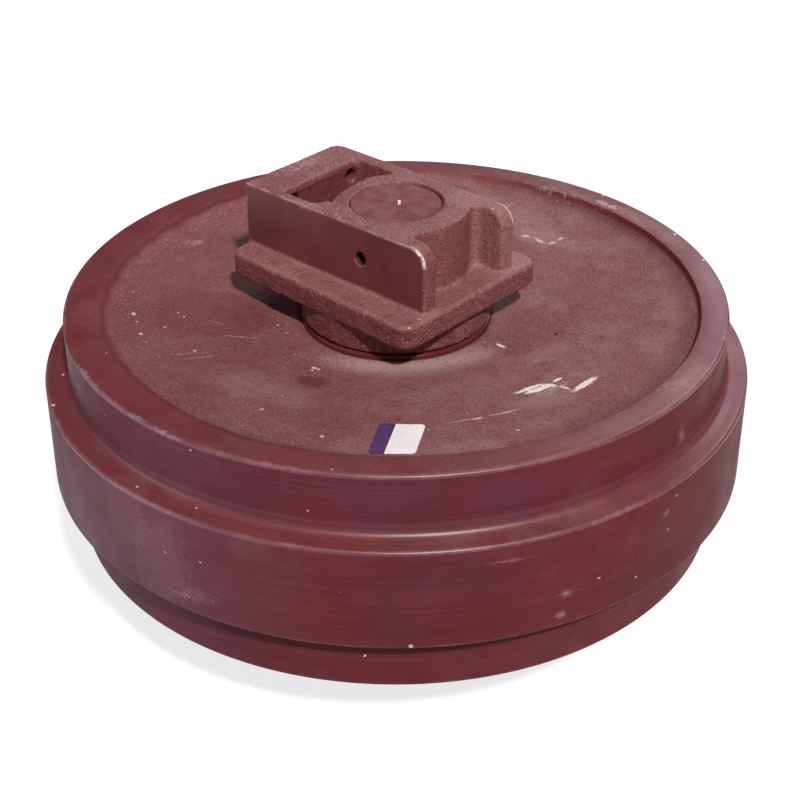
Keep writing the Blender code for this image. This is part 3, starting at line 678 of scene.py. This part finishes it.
# Places rubbed down to primer or metal: place, turn, half length, half width, half height, tint, strength
BARE_PLACES = [
    ((-28, 250, 95), 8, 34, 5, 9, BARE_STEEL, 0.60), ((30, 256, 95), -8, 16, 6, 9, CHALK_AND_GLINT, 0.40),
    ((60, 252, 95), -14, 40, 9, 9, WORN_TAN, 0.40), ((112, 238, 95), -26, 30, 9, 6, WORN_TAN, 0.30),
    ((-99, -256, 95), -22, 12, 3, 3, BARE_STEEL, 0.70),
    ((-11, -273, 95), 0, 14, 3, 3, BARE_STEEL, 0.60),
    ((20, -273, 94), 4, 18, 3, 3, PALE_DUST_AND_SHEEN, 0.30),
    ((246, 119, 94), -64, 12, 4, 4, BARE_STEEL, 0.70),
    ((-80, -261, 95), -18, 34, 4, 4, RUBBED_AND_HIGHLIGHT, 0.45), ((258, 30, 95), 80, 22, 9, 5, PALE_DUST_AND_SHEEN, 0.18),
    ((10, 255, 95), 0, 60, 9, 6, RUBBED_AND_HIGHLIGHT, 0.30), ((-208, -38, 90), 70, 12, 5, 8, PALE_DUST_AND_SHEEN, 0.45)]

# Small chips on the wheel: place, reach
CHIPS = [
    ((-79, -262, 96), 1.5), ((-54, -269, 77), 1.0), ((45, -270, 89), 1.1), ((-173, -219, 44), 1.4),
    ((-141, -254, 43), 2.0), ((-2, -285, 43), 1.4), ((51, -274, 43), 1.4), ((64, -270, 43), 1.0),
    ((38, -193, 85), 1.7), ((100, -192, 87), 1.8), ((31, -165, 83), 1.4), ((144, -227, 95), 1.0),
    ((32, -292, 4), 1.1), ((65, -286, 8), 1.0), ((293, -12, 31), 1.1), ((280, -88, -10), 1.1),
    ((289, -52, -25), 1.2), ((204, -211, -41), 2.2), ((111, 246, 95), 1.8), ((158, 220, 95), 1.6),
    ((15, 270, 95), 1.4), ((-125, -131, 84), 1.3), ((-117, -132, 83), 1.2), ((-113, -156, 85), 1.2),
    ((-55, -74, 76), 1.5), ((-59, -81, 76), 1.2), ((-44, -85, 76), 1.4), ((-28, -99, 77), 1.2),
    ((-13, -107, 77), 1.3), ((14, -113, 78), 2.8), ((18, -112, 78), 2.4), ((16, -117, 78), 1.6),
    ((-68, -165, 83), 1.8), ((-58, -53, 75), 2.2), ((-15, -168, 83), 1.2), ((201, -90, 87), 1.2),
    ((266, 55, 94), 1.2), ((-146, -161, 87), 2.2), ((-134, -168, 87), 1.0), ((-116, -179, 87), 1.8),
    ((-103, -184, 87), 1.2), ((-190, -113, 87), 1.0), ((-175, -137, 87), 1.2)]

# The one dark spot in the dish, and the centre mark on the shaft, painted white as its highlight: place,
# reach
DARK_CHIPS = [((126, 55, 80), 2.6)]
CENTRE_MARK_GLINT = [((3.4 - step * 1.3, 0.2 + step * 1.5, SHAFT_END / MM), 1.5) for step in range(4)]

# Small bright chips and painted glints on the bracket's corners: place, reach
BRACKET_GLINTS_AND_CHIPS = [
    ((-79, 36, 177), 1.8), ((-49, 7, 177), 2.0), ((-44, 11, 177), 1.5), ((-27, -22, 177), 1.3),
    ((-19, -33, 177), 1.6), ((-19, -50, 177), 1.3), ((-14, -52, 177), 1.2), ((82, -76, 123), 1.1),
    ((80, -62, 124), 1.2), ((-118, -72, 122), 1.6), ((76, 46, 176), 1.5)]

# A grey rubbed place on the bracket's top, and rust in the hole of its end wall, in mm
GREY_PLACE = (-50, -51, 177)
RUST_PLACE = (-66, 38, 163)

# Light smudges on the upright faces: place, turn, half length, half height, strength
SMUDGES = [
    ((44, -290, -30), 9, 20, 8, 0.40), ((60, -287, -24), 12, 40, 16, 0.20),
    ((270, -115, -14), 67, 11, 6, 0.60), ((269, -118, -33), 66, 10, 7, 0.60),
    ((293, -23, 20), 86, 9, 7, 0.50), ((273, 20, 60), 86, 12, 14, 0.50),
    ((-190, -222, 10), -40, 60, 34, 0.30), ((-120, -246, 72), -26, 60, 16, 0.25),
    ((250, -155, 28), 58, 26, 4, 0.35)]


def new_material(name, roughness, metallic=0.0, gloss=0.16):
    """Start a material, and the nodes that feed its shader."""
    material = bpy.data.materials.new(name)
    material.use_nodes = True
    shader = material.node_tree.nodes["Principled BSDF"]
    shader.inputs["Roughness"].default_value = roughness
    shader.inputs["Metallic"].default_value = metallic
    shader.inputs["Specular IOR Level"].default_value = gloss
    return material, Nodes(material.node_tree, shader.inputs)


def bump(n, height, strength, distance):
    """Feed a height to the shader's normal."""
    made = n.add("Bump", sockets={"Height": height, "Strength": strength, "Distance": distance})
    n.give("Normal", made.outputs["Normal"])


def placed_mark(n, centre, turn, length, width, depth=40.0, tilt=0.0, **values):
    """Place one rubbed mark, with its sizes in millimetres and its turn and tilt in degrees."""
    angle = math.radians(turn)
    along = Vector((math.cos(angle), math.sin(angle), 0))
    return n.use(RUBBED_MARK, centre=[c * MM for c in centre], along=along, across=UP.cross(along),
                 spin=(math.radians(tilt), 0, angle), length=length * MM, width=width * MM,
                 depth=depth * MM, **values)


def chip_mask(n, place, chips):
    """Give a mask of small ragged chips at given places."""
    rough = n.add("TexNoise", sockets={"Vector": place, "Scale": 420.0, "Detail": 2.0})
    shift = n.add("VectorMath", {"operation": "MULTIPLY_ADD"},
                  {0: rough.outputs["Color"], 1: (2.6 * MM,) * 3, 2: (-1.3 * MM,) * 3}).outputs["Vector"]
    bent = n.vector("ADD", place, shift)
    nearest = 9.0
    for centre, reach in chips:
        apart = n.vector("DISTANCE", bent, [c * MM for c in centre], "Value")
        nearest = n.math("MINIMUM", n.math("DIVIDE", apart, reach * MM), nearest)
    return n.between(nearest, 1.0, 0.7)


def wheel_paint():
    """Paint on the wheel: fine turned faces on the rim and flange, a dusty rough casting in the dish,
    with painted sheen, glints, highlights and shade.
    """
    material, n = new_material("Wheel primer", 0.45, gloss=0.12)
    place = n.place()
    radius = n.from_axis(n.vector("SUBTRACT", place, RECESS_SHIFT))
    right = n.along(place, STEEP_SIDE)
    ragged = n.noise(place, 34.0, 5.0, 0.65)
    limit = n.plus(radius, n.between(ragged, 0.3, 0.7, -1.4 * MM, 1.4 * MM))
    limit = n.plus(limit, n.between(right, -90 * MM, -200 * MM, 0.0, 5 * MM))
    cast = n.between(limit, RIM_FACE_R + 1 * MM, RIM_FACE_R - 7 * MM)

    facing = n.parts(n.add("TexCoord").outputs["Normal"])["Z"]
    upright = n.between(n.size(facing), 0.8, 0.3)
    broad = n.noise(place, 6.0, 4.0, 0.55)
    # Painted reflection: the upright faces turn plum towards the left
    plum_sheen = n.between(n.plus(broad, n.times(right, -1.0)), 0.40, 0.70)
    colour = n.mixed(n.times(plum_sheen, upright), PAINT, PLUM_SHEEN)
    cloudy = n.between(n.noise(place, 22.0, 5.0, 0.6), 0.35, 0.68, 0.0, 0.45)
    colour = n.mixed(cloudy, colour, PAINT_DARK_AND_SHADE)
    lines = n.use(TURNING_LINES, lines=420.0, waver=3.0)
    streaks = n.times(lines["Streaks"], n.between(upright, 0.0, 1.0, 0.20, 0.58))
    colour = n.mixed(streaks, colour, PAINT_DARK_AND_SHADE)
    # Painted reflection: a mauve haze on the upright faces towards the left, fading on the flange's top
    mauve_sheen = n.times(n.between(right, -20 * MM, -262 * MM, 0.0, 0.34), upright)
    above = n.along(place, UP)
    mauve_sheen = n.times(mauve_sheen, n.between(above, FLANGE_TOP - 2 * MM, FLANGE_TOP + 4 * MM, 1.0, 0.35))
    mauve_sheen = n.times(mauve_sheen, n.between(above, -FLANGE_TOP - 2 * MM, -FLANGE_TOP + 4 * MM))
    mauve_sheen = n.times(mauve_sheen, n.between(n.noise(place, 12.0, 5.0, 0.6), 0.3, 0.7, 0.5, 1.2))
    colour = n.mixed(mauve_sheen, colour, MAUVE_SHEEN)
    # Painted sheen: the flat tops turn mauve towards the right
    pink_sheen = n.times(n.between(facing, 0.90, 0.99), n.between(right, 60 * MM, 240 * MM, 0.0, 0.24))
    colour = n.mixed(pink_sheen, colour, MAUVE_SHEEN)
    haze = n.between(n.noise(place, 9.0, 6.0, 0.65), 0.54, 0.74, 0.0, 0.16)
    # Settled dust, with painted sheen: there is more of it towards the right
    settled_dust_and_sheen = n.use(SETTLED_DUST, amount=0.28, blotches=20.0)["Mask"]
    settled_dust_and_sheen = n.times(settled_dust_and_sheen, n.between(right, -150 * MM, 60 * MM, 0.5, 1.2))
    colour = n.mixed(n.plus(haze, settled_dust_and_sheen), colour, DUSTY_AND_SHEEN)
    for centre, turn, length, height, strength in SMUDGES:
        mark = placed_mark(n, centre, turn, length, 30.0, height, 90.0, cover=0.24, ragged=1.2)
        colour = n.mixed(n.times(mark["Scratches"], strength), colour, PALE_DUST_AND_SHEEN)

    dust = n.use(SETTLED_DUST, amount=0.96, blotches=12.0)["Mask"]
    # Dust in the dish, with painted sheen: it gets lighter towards one side
    dust_and_sheen_share = n.between(n.along(place, DUST_AND_SHEEN_SIDE), -190 * MM, 90 * MM, 0.42, 1.24)
    cast_colour = n.mixed(n.times(dust, dust_and_sheen_share), CAST_SKIN, DUSTY_AND_SHEEN)
    shade = n.between(radius, 222 * MM, 244 * MM)
    shade = n.times(shade, n.between(right, 60 * MM, 190 * MM, 0.0, 0.72))
    cast_colour = n.mixed(shade, cast_colour, SHADED_SKIN)
    redder = n.between(n.noise(place, 11.0, 6.0, 0.6), 0.46, 0.62, 0.0, 0.45)
    cast_colour = n.mixed(redder, cast_colour, CAST_SKIN)
    front_right = n.along(place, FRONT_RIGHT)
    # Painted sheen and dust on the rise round the hub, on its front and right side
    hub_rise_dust_and_sheen = n.times(n.between(radius, 114 * MM, 90 * MM),
                       n.between(front_right, 52 * MM, 92 * MM, 0.04, 1.0))
    cast_colour = n.mixed(n.times(hub_rise_dust_and_sheen, 0.60), cast_colour, PALE_DUST_AND_SHEEN)
    grain = n.use(CAST_GRAIN, grain=560.0, pits=0.4)
    cast_colour = n.mixed(n.times(grain["Hollows"], 0.6), cast_colour, PAINT)
    # Sand speckle and painted glints on the grain's crests
    speckle_and_glints = n.between(n.noise(place, 760.0, 2.0, 0.6), 0.56, 0.70)
    patches = n.between(n.noise(place, 30.0, 4.0, 0.65), 0.36, 0.60, 0.08, 0.40)
    outer = n.times(n.between(radius, 205 * MM, 232 * MM), n.between(right, 110 * MM, -40 * MM))
    patches = n.plus(patches, n.times(outer, 0.30))
    patches = n.plus(patches, n.times(hub_rise_dust_and_sheen, 0.8))
    cast_colour = n.mixed(n.times(speckle_and_glints, patches), cast_colour, PALE_DUST_AND_SHEEN)
    colour = n.mixed(cast, colour, cast_colour)
    # Painted shade in the groove along the dish's lip, on the left
    groove_shade = n.size(n.minus(limit, RIM_FACE_R + 1 * MM))
    groove_shade = n.times(n.between(groove_shade, 4 * MM, 0.5 * MM), n.between(right, -40 * MM, -130 * MM))
    colour = n.mixed(n.times(groove_shade, 0.65), colour, PAINT_DARK_AND_SHADE)
    for centre, turn, length, width, edge, tint, strength in STAINS:
        mark = placed_mark(n, centre, turn, length, width, ragged=edge)
        colour = n.mixed(n.times(mark["Patch"], strength), colour, tint)

    sand = n.use(FLECKS, spacing=210.0, share=0.16, size=0.15)["Mask"]
    sand = n.times(sand, n.between(cast, 0.0, 1.0, 0.06, 0.55))
    colour = n.mixed(sand, colour, PALE_DUST_AND_SHEEN)
    polished = 0.0
    # Rubbed paint along the turned edges, which also serves as a painted highlight, and bare chips
    for edge_r, edge_z, reach, chips in TURNED_EDGES:
        wear = n.use(TURNED_EDGE, radius=edge_r, height=edge_z, reach=reach * MM, chips=chips)
        if chips < 1.0:
            colour = n.mixed(n.times(wear["Rubbed"], 0.40), colour, RUBBED_AND_HIGHLIGHT)
            colour = n.mixed(n.times(wear["Bare"], 0.8), colour, BARE_STEEL)
        polished = n.math("MAXIMUM", wear["Band"], polished)
    for centre, turn, length, width, height, tint, strength in BARE_PLACES:
        mark = placed_mark(n, centre, turn, length, width, height, ragged=1.0)
        colour = n.mixed(n.times(mark["Broken"], strength), colour, tint)
    polished = n.times(polished, n.between(front_right, 40 * MM, 190 * MM, 0.0, 0.95))
    polished = n.times(polished, n.between(above, -20 * MM, 20 * MM))
    level = n.times(n.between(facing, 0.90, 0.99), n.between(cast, 0.6, 0.0, 0.0, 0.42))
    level = n.times(level, n.between(radius, RIM_FACE_R - 1 * MM, RIM_FACE_R + 16 * MM, 0.1, 1.0))
    level = n.times(level, n.between(n.noise(place, 18.0, 5.0, 0.6), 0.35, 0.65, 0.6, 1.1))
    level = n.times(level, n.between(right, -20 * MM, 220 * MM, 0.12, 1.0))
    level = n.times(level, n.between(front_right, -160 * MM, 20 * MM, 0.2, 1.0))
    n.give("Coat Weight", n.math("MAXIMUM", polished, level))
    n.result["Coat Roughness"].default_value = 0.40
    for spacing, share, size, tint in WHEEL_FLECKS:
        flecks = n.use(FLECKS, spacing=spacing, share=share, size=size)["Mask"]
        colour = n.mixed(n.times(flecks, 0.7), colour, tint)
    for centre, turn, length, width, bow, cover in SCRATCHES:
        mark = placed_mark(n, centre, turn, length, width, bend=bow, cover=cover, ragged=0.9)
        colour = n.mixed(n.times(mark["Scratches"], min(1.5 * cover, 0.92)), colour, CHALK_AND_GLINT)
    colour = n.mixed(n.times(chip_mask(n, place, CHIPS), 0.60), colour, CHALK_AND_GLINT)
    colour = n.mixed(chip_mask(n, place, DARK_CHIPS), colour, SOOT)
    n.give("Base Color", colour)

    sheen = n.between(n.noise(place, 16.0, 4.0, 0.6), 0.3, 0.7, 0.48, 0.62)
    n.give("Roughness", n.blend(cast, sheen, 0.55))
    turned_height = n.times(lines["Height"], 0.10)
    bump(n, n.blend(cast, turned_height, grain["Height"]), 0.95, 1.4 * MM)
    return material


def bracket_paint():
    """Paint on the bracket castings: rough skin, smooth machined guide sides, rubbed edges, with painted
    highlights, glints, light and shade.
    """
    material, n = new_material("Bracket primer", 0.5, gloss=0.42)
    place = n.place()
    facing = n.parts(n.add("TexCoord").outputs["Normal"])
    side = facing["Y"]
    parts = n.parts(place)
    out = n.size(parts["Y"])
    high = n.size(parts["Z"])
    flat = n.between(n.size(side), 0.85, 0.97)
    flat = n.times(flat, n.between(high, LEDGE_TOP, LEDGE_TOP + 2 * MM))
    flat = n.times(flat, n.between(out, GUIDE_HALF - 1.5 * MM, GUIDE_HALF - 0.7 * MM))
    below = n.between(high, LEDGE_TOP - 1 * MM, LEDGE_TOP - 4 * MM)
    pocket = n.times(n.between(parts["X"], -58 * MM, -66 * MM), n.between(out, 42 * MM, 39 * MM))
    pocket = n.times(pocket, n.between(high, BRACKET_TOP - 4 * MM, BRACKET_TOP - 9 * MM))

    dust = n.use(SETTLED_DUST, amount=0.80, blotches=24.0, sides=0.42)["Mask"]
    # Dust and painted light: extra dust brightens the recess floor by the far wing
    inner = n.times(n.between(parts["X"], 20 * MM, 34 * MM), n.between(parts["Y"], 22 * MM, 34 * MM))
    inner = n.times(inner, n.between(high, LEDGE_TOP - 2 * MM, LEDGE_TOP + 1 * MM))
    low_top = n.times(n.between(high, BRACKET_TOP - 3 * MM, BRACKET_TOP - 12 * MM),
                      n.between(n.size(facing["Z"]), 0.5, 0.9, 0.0, 0.30))
    low_front = n.times(n.between(high, LEDGE_TOP + 1 * MM, LEDGE_TOP - 3 * MM),
                        n.between(facing["X"], 0.2, 0.9, 0.12, 0.30))
    dust = n.plus(dust, n.times(inner, 0.70))
    dust = n.plus(dust, n.plus(low_top, low_front))
    grain = n.use(CAST_GRAIN, grain=640.0, pits=0.5)
    colour = n.mixed(dust, BRACKET_SKIN, BRACKET_DUST_AND_LIGHT)
    # Sand speckle and painted glints on the grain's crests, more of them on the sides under the ledge
    speckle_and_glints = n.between(n.noise(place, 480.0, 4.0, 0.7), 0.55, 0.68)
    patches = n.between(n.noise(place, 60.0, 4.0, 0.65), 0.35, 0.62, 0.12, 0.42)
    patches = n.plus(patches, n.times(below, 0.22))
    colour = n.mixed(n.times(speckle_and_glints, patches), colour, PALE_DUST_AND_SHEEN)
    left = n.between(side, 0.2, -0.6, 0.25, 0.75)
    left = n.times(left, n.minus(1.0, n.times(speckle_and_glints, 0.6)))
    colour = n.mixed(n.times(below, left), colour, PAINT)
    colour = n.mixed(n.times(pocket, 0.7), colour, PAINT)
    colour = n.mixed(n.times(grain["Hollows"], 0.45), colour, PAINT_DARK_AND_SHADE)
    smooth = n.noise(place, 18.0, 4.0, 0.6)
    side_colour = n.mixed(n.between(smooth, 0.35, 0.7), PAINT, PAINT_DARK_AND_SHADE)
    film = n.times(n.between(parts["X"], 20 * MM, -110 * MM), n.between(high, 140 * MM, 174 * MM))
    side_colour = n.mixed(n.times(film, 0.14), side_colour, DUSTY_AND_SHEEN)
    colour = n.mixed(flat, colour, side_colour)
    from_pin = n.apart(n.minus(parts["X"], PIN_X), n.minus(high, PIN_Z))
    # Painted shade in the mouth of the lock pin's hole
    hole = n.times(n.between(from_pin, PIN_R + 1.2 * MM, PIN_R + 0.4 * MM),
                   n.between(out, GUIDE_HALF - 0.2 * MM, GUIDE_HALF - 1.2 * MM))
    colour = n.mixed(hole, colour, PIN_HOLE_SHADE)

    # Rubbed paint and painted highlights on the keen edges, and bare chips
    wear = n.use(WORN_EDGES, start=0.53, full=0.60, chips=0.60)
    colour = n.mixed(n.times(wear["Rubbed"], 0.5), colour, RUBBED_AND_HIGHLIGHT)
    colour = n.mixed(n.times(wear["Bare"], 0.8), colour, PALE_DUST_AND_SHEEN)
    # Rubbed paint and a painted highlight along the guide side's top edge
    from_edge = n.apart(n.minus(out, GUIDE_HALF), n.minus(high, BRACKET_TOP))
    broken = n.between(n.noise(place, 60.0, 5.0, 0.7), 0.40, 0.60, 0.1, 1.0)
    line = n.times(n.between(from_edge, 2.2 * MM, 1.0 * MM), broken)
    colour = n.mixed(n.times(line, 0.50), colour, PALE_DUST_AND_SHEEN)
    patch = placed_mark(n, GREY_PLACE, 0, 16, 6, 6, ragged=1.0)
    colour = n.mixed(n.times(patch["Broken"], 0.55), colour, GREY_RUB)
    worn = placed_mark(n, ROUGH_PATCH / MM, 90, 36, 12, ragged=0.8)
    colour = n.mixed(n.times(worn["Broken"], 0.35), colour, PALE_DUST_AND_SHEEN)
    # Rubbed paint and a painted highlight on the rounded nose corner
    bend_x = n.minus(parts["X"], GUIDE_FRONT - NOSE_R)
    bend_z = n.minus(high, BRACKET_TOP - NOSE_R)
    from_bend = n.apart(bend_x, bend_z)
    corner = n.times(n.between(from_bend, NOSE_R - 2.6 * MM, NOSE_R - 1.0 * MM),
                     n.between(out, GUIDE_HALF - 3.4 * MM, GUIDE_HALF - 1.6 * MM))
    corner = n.times(corner, n.between(n.plus(bend_x, bend_z), 11 * MM, 17 * MM))
    corner = n.times(corner, n.between(n.noise(place, 160.0, 4.0, 0.7), 0.34, 0.56))
    colour = n.mixed(n.times(corner, 0.8), colour, CHALK_AND_GLINT)
    # Painted glints and bright chips on the bracket's corners
    colour = n.mixed(n.times(chip_mask(n, place, BRACKET_GLINTS_AND_CHIPS), 0.4), colour, CHALK_AND_GLINT)
    # Painted shadow: a dark arc round the shaft end, cast by the bore's rim, on the right side
    ring = n.size(n.minus(n.from_axis(place), SHAFT_R + 1.2 * MM))
    ring = n.times(n.between(ring, 1.6 * MM, 0.8 * MM),
                   n.between(n.along(place, STEEP_SIDE), 0.0, 28 * MM, 0.0, 0.8))
    colour = n.mixed(ring, colour, PAINT_DARK_AND_SHADE)
    rust = placed_mark(n, RUST_PLACE, 0, 5, 9, 7, ragged=0.8)
    colour = n.mixed(n.times(rust["Patch"], 0.7), colour, RUST)
    for spacing, share, size, tint in BRACKET_FLECKS:
        flecks = n.use(FLECKS, spacing=spacing, share=share, size=size)["Mask"]
        flecks = n.times(flecks, n.between(flat, 1.0, 0.0, 0.15, 0.75))
        colour = n.mixed(flecks, colour, tint)
    n.give("Base Color", colour)
    glint = n.between(n.noise(place, 300.0, 3.0, 0.6), 0.35, 0.65, 0.36, 0.60)
    n.give("Roughness", n.blend(flat, glint, 0.46))
    deeper = n.times(grain["Height"], n.between(below, 0.0, 1.0, 1.0, 1.7))
    deeper = n.times(deeper, n.between(pocket, 0.0, 1.0, 1.0, 0.3))
    bump(n, n.blend(flat, deeper, 0.5), 0.9, 1.5 * MM)
    return material


def gloss_paint():
    """Fresh glossy paint on the turned hub."""
    material, n = new_material("Hub primer", 0.3, gloss=0.4)
    place = n.place()
    lines = n.use(TURNING_LINES, lines=1400.0, waver=4.0)
    patchy = n.noise(place, 30.0, 4.0, 0.6)
    colour = n.mixed(n.between(patchy, 0.4, 0.65), HUB_RED, PAINT_DARK_AND_SHADE)
    dust = n.use(SETTLED_DUST, amount=0.15, blotches=30.0)["Mask"]
    colour = n.mixed(dust, colour, DUSTY_AND_SHEEN)
    n.give("Base Color", colour)
    n.give("Roughness", n.between(patchy, 0.3, 0.7, 0.24, 0.38))
    bump(n, lines["Height"], 0.25, 0.2 * MM)
    return material


def shaft_finish():
    """Ground steel, painted over where the ends of the shaft show, with a centre mark whose highlight is
    painted white.
    """
    material, n = new_material("Shaft end primer and steel", 0.5)
    place = n.place()
    parts = n.parts(place)
    end = n.between(n.size(parts["Z"]), SHAFT_END - 6 * MM, SHAFT_END - 3 * MM)
    lines = n.use(TURNING_LINES, lines=1800.0, waver=3.0)
    steel = n.mixed(n.times(lines["Streaks"], 0.4), *GROUND_STEEL)
    dust = n.use(SETTLED_DUST, amount=0.72, blotches=40.0)["Mask"]
    grain = n.use(CAST_GRAIN, grain=700.0, pits=0.15)
    paint = n.mixed(dust, PAINT, DUSTY_AND_SHEEN)
    flecks = n.use(FLECKS, spacing=230.0, share=0.12, size=0.13)["Mask"]
    paint = n.mixed(n.times(flecks, 0.5), paint, PALE_DUST_AND_SHEEN)
    # Painted highlight: the white spot in the drilled centre mark
    paint = n.mixed(chip_mask(n, place, CENTRE_MARK_GLINT), paint, CHALK_AND_GLINT)
    n.give("Base Color", n.mixed(end, steel, paint))
    n.give("Metallic", n.blend(end, 1.0, 0.0))
    n.give("Roughness", n.blend(end, 0.25, 0.62))
    bump(n, grain["Height"], 0.35, 0.5 * MM)
    return material


def label_paper():
    """Off-white printed paper with a dark band, rubbed grey in places."""
    material, n = new_material("Label paper", 0.5, gloss=0.3)
    place = n.place()
    print_place = n.add("UVMap", {"uv_map": "label"}).outputs["UV"]
    parts = n.parts(print_place)
    band = n.between(parts["Y"], LABEL_BAND + 0.005, LABEL_BAND - 0.005)
    worn = n.between(n.noise(place, 260.0, 5.0, 0.7), 0.35, 0.62)
    paper = n.mixed(n.times(worn, 0.45), *PAPER)
    ink = n.mixed(n.times(worn, 0.4), *INK)
    n.give("Base Color", n.mixed(band, paper, ink))
    n.give("Roughness", n.between(worn, 0.0, 1.0, 0.4, 0.6))
    bump(n, n.noise(place, 320.0), 0.2, 0.1 * MM)
    return material


def pin_paint():
    """Dull dark paint over a lock pin, deep in its hole."""
    material, n = new_material("Lock pin primer", 0.75, gloss=0.1)
    place = n.place()
    patchy = n.between(n.noise(place, 160.0, 4.0, 0.65), 0.35, 0.65)
    n.give("Base Color", n.mixed(patchy, *PIN_PRIMER))
    n.give("Roughness", n.between(patchy, 0.0, 1.0, 0.65, 0.85))
    bump(n, n.noise(place, 600.0), 0.4, 0.3 * MM)
    return material


def plain_metal(name, colour, shade, roughness, lines):
    """Turned metal with fine lines and a mottled tone."""
    material, n = new_material(name, roughness, metallic=1.0)
    place = n.place()
    marks = n.use(TURNING_LINES, lines=lines, waver=4.0)
    tone = n.between(n.noise(place, 60.0, 4.0, 0.6), 0.3, 0.7)
    n.give("Base Color", n.mixed(tone, colour, shade))
    n.give("Roughness", n.between(tone, 0.0, 1.0, roughness - 0.06, roughness + 0.1))
    bump(n, marks["Height"], 0.2, 0.15 * MM)
    return material


def rubber():
    """Matt black rubber with a faint bloom."""
    material, n = new_material("Seal rubber", 0.7)
    place = n.place()
    bloom = n.between(n.noise(place, 90.0, 4.0, 0.6), 0.4, 0.75)
    n.give("Base Color", n.mixed(bloom, *BLACK_RUBBER))
    n.give("Roughness", n.between(bloom, 0.0, 1.0, 0.55, 0.8))
    bump(n, n.noise(place, 900.0), 0.2, 0.1 * MM)
    return material


WHEEL_PAINT = wheel_paint()
BRACKET_PAINT = bracket_paint()
HUB_PAINT = gloss_paint()
SHAFT_FINISH = shaft_finish()
DARK_STEEL = plain_metal("Oiled steel", *STEEL_TONES, 0.38, 900.0)
BRONZE = plain_metal("Bush bronze", *BRONZE_TONES, 0.32, 1500.0)
SEAL_IRON = plain_metal("Lapped iron", *IRON_TONES, 0.2, 2500.0)
RUBBER = rubber()
LABEL_PAPER = label_paper()
PIN_PAINT = pin_paint()

for name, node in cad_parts.items():
    if name.startswith("bush"):
        finish = BRONZE
    elif name.startswith("seal_ring"):
        finish = SEAL_IRON
    elif name.startswith("toric") or "o_ring" in name:
        finish = RUBBER
    elif name == "shaft":
        finish = SHAFT_FINISH
    elif name.startswith("lock_pin"):
        finish = PIN_PAINT
    else:
        finish = DARK_STEEL
    node.data.materials.clear()
    node.data.materials.append(finish)

for level, side in (("upper", 1), ("lower", -1)):
    casting = make_object("wheel_casting_" + level, wheel_casting(side, 2.0 * side), WHEEL_PAINT)
    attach(casting, "wheel")
    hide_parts("wheel_half_" + level)
    if side > 0:
        label = make_object("dish_label", label_sheet(casting), LABEL_PAPER)
        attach(label, "wheel")
    skin = make_object("guide_casting_" + level, cast_bracket("bracket_" + level, side), BRACKET_PAINT)
    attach(skin, "fixed_frame")
    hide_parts("bracket_" + level)
hub = make_object("hub_turning", hub_turning(), HUB_PAINT)
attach(hub, "wheel")
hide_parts("hub_sleeve")


def studio():
    """Lay a pale floor, and set plain soft light and the camera."""
    solid = bmesh.new()
    bmesh.ops.create_grid(solid, x_segments=1, y_segments=1, size=12.0,
                          matrix=Matrix.Translation((0, 0, FLOOR_Z)))
    material, n = new_material("Pale floor", 0.9)
    n.result["Specular IOR Level"].default_value = 0.0
    tint = n.between(n.noise(n.place(), 3.0), 0.2, 0.8)
    n.give("Base Color", n.mixed(tint, *FLOOR_GREY))
    path = n.add("LightPath").outputs
    seen = n.math("MAXIMUM", path["Is Camera Ray"], path["Is Glossy Ray"])
    seen = n.math("MAXIMUM", seen, path["Is Transmission Ray"])
    glow = n.add("Emission", sockets={"Strength": n.times(seen, FLOOR_GLOW)})
    shader = n.tree.nodes["Principled BSDF"]
    both = n.add("AddShader", sockets={0: shader.outputs["BSDF"], 1: glow.outputs["Emission"]})
    n.tree.links.new(both.outputs["Shader"], n.tree.nodes["Material Output"].inputs["Surface"])
    floor = make_object("floor", solid, material)

    world = bpy.data.worlds.new("Studio")
    bpy.context.scene.world = world
    world.use_nodes = True
    back = world.node_tree.nodes["Background"]
    n = Nodes(world.node_tree, back.inputs)
    path = n.add("LightPath").outputs
    seen = n.math("MAXIMUM", path["Is Camera Ray"], path["Is Transmission Ray"])
    strength = n.add("MapRange", sockets={"Value": seen, "To Min": BACKDROP_LIGHT, "To Max": 1.0})
    n.give("Strength", strength.outputs["Result"])
    back.inputs["Color"].default_value = BACKDROP

    lamp = bpy.data.lights.new("Key light", "SUN")
    lamp.energy = KEY_POWER
    lamp.angle = math.radians(4)
    lamp.color = KEY_COLOUR
    key = bpy.data.objects.new("Key light", lamp)
    key.rotation_euler = KEY_DIRECTION.to_track_quat("-Z", "Y").to_euler()
    bpy.context.scene.collection.objects.link(key)

    for name, power, wide, tall, place, colour in PANELS:
        lamp = bpy.data.lights.new(name, "AREA")
        lamp.shape = "RECTANGLE"
        lamp.energy = power
        lamp.size = wide
        lamp.size_y = tall
        lamp.color = colour
        panel = bpy.data.objects.new(name, lamp)
        panel.location = place
        panel.rotation_euler = (panel.location * -1).to_track_quat("-Z", "Y").to_euler()
        bpy.context.scene.collection.objects.link(panel)

    lens = bpy.data.cameras.new("Camera")
    lens.lens = LENS
    lens.sensor_width = 36
    lens.clip_end = 50
    camera = bpy.data.objects.new("Camera", lens)
    camera.location = CAMERA_PLACE
    camera.rotation_euler = [math.radians(turn) for turn in CAMERA_TURN]
    bpy.context.scene.collection.objects.link(camera)
    bpy.context.scene.camera = camera
    bpy.context.scene.view_settings.view_transform = "Standard"


studio()
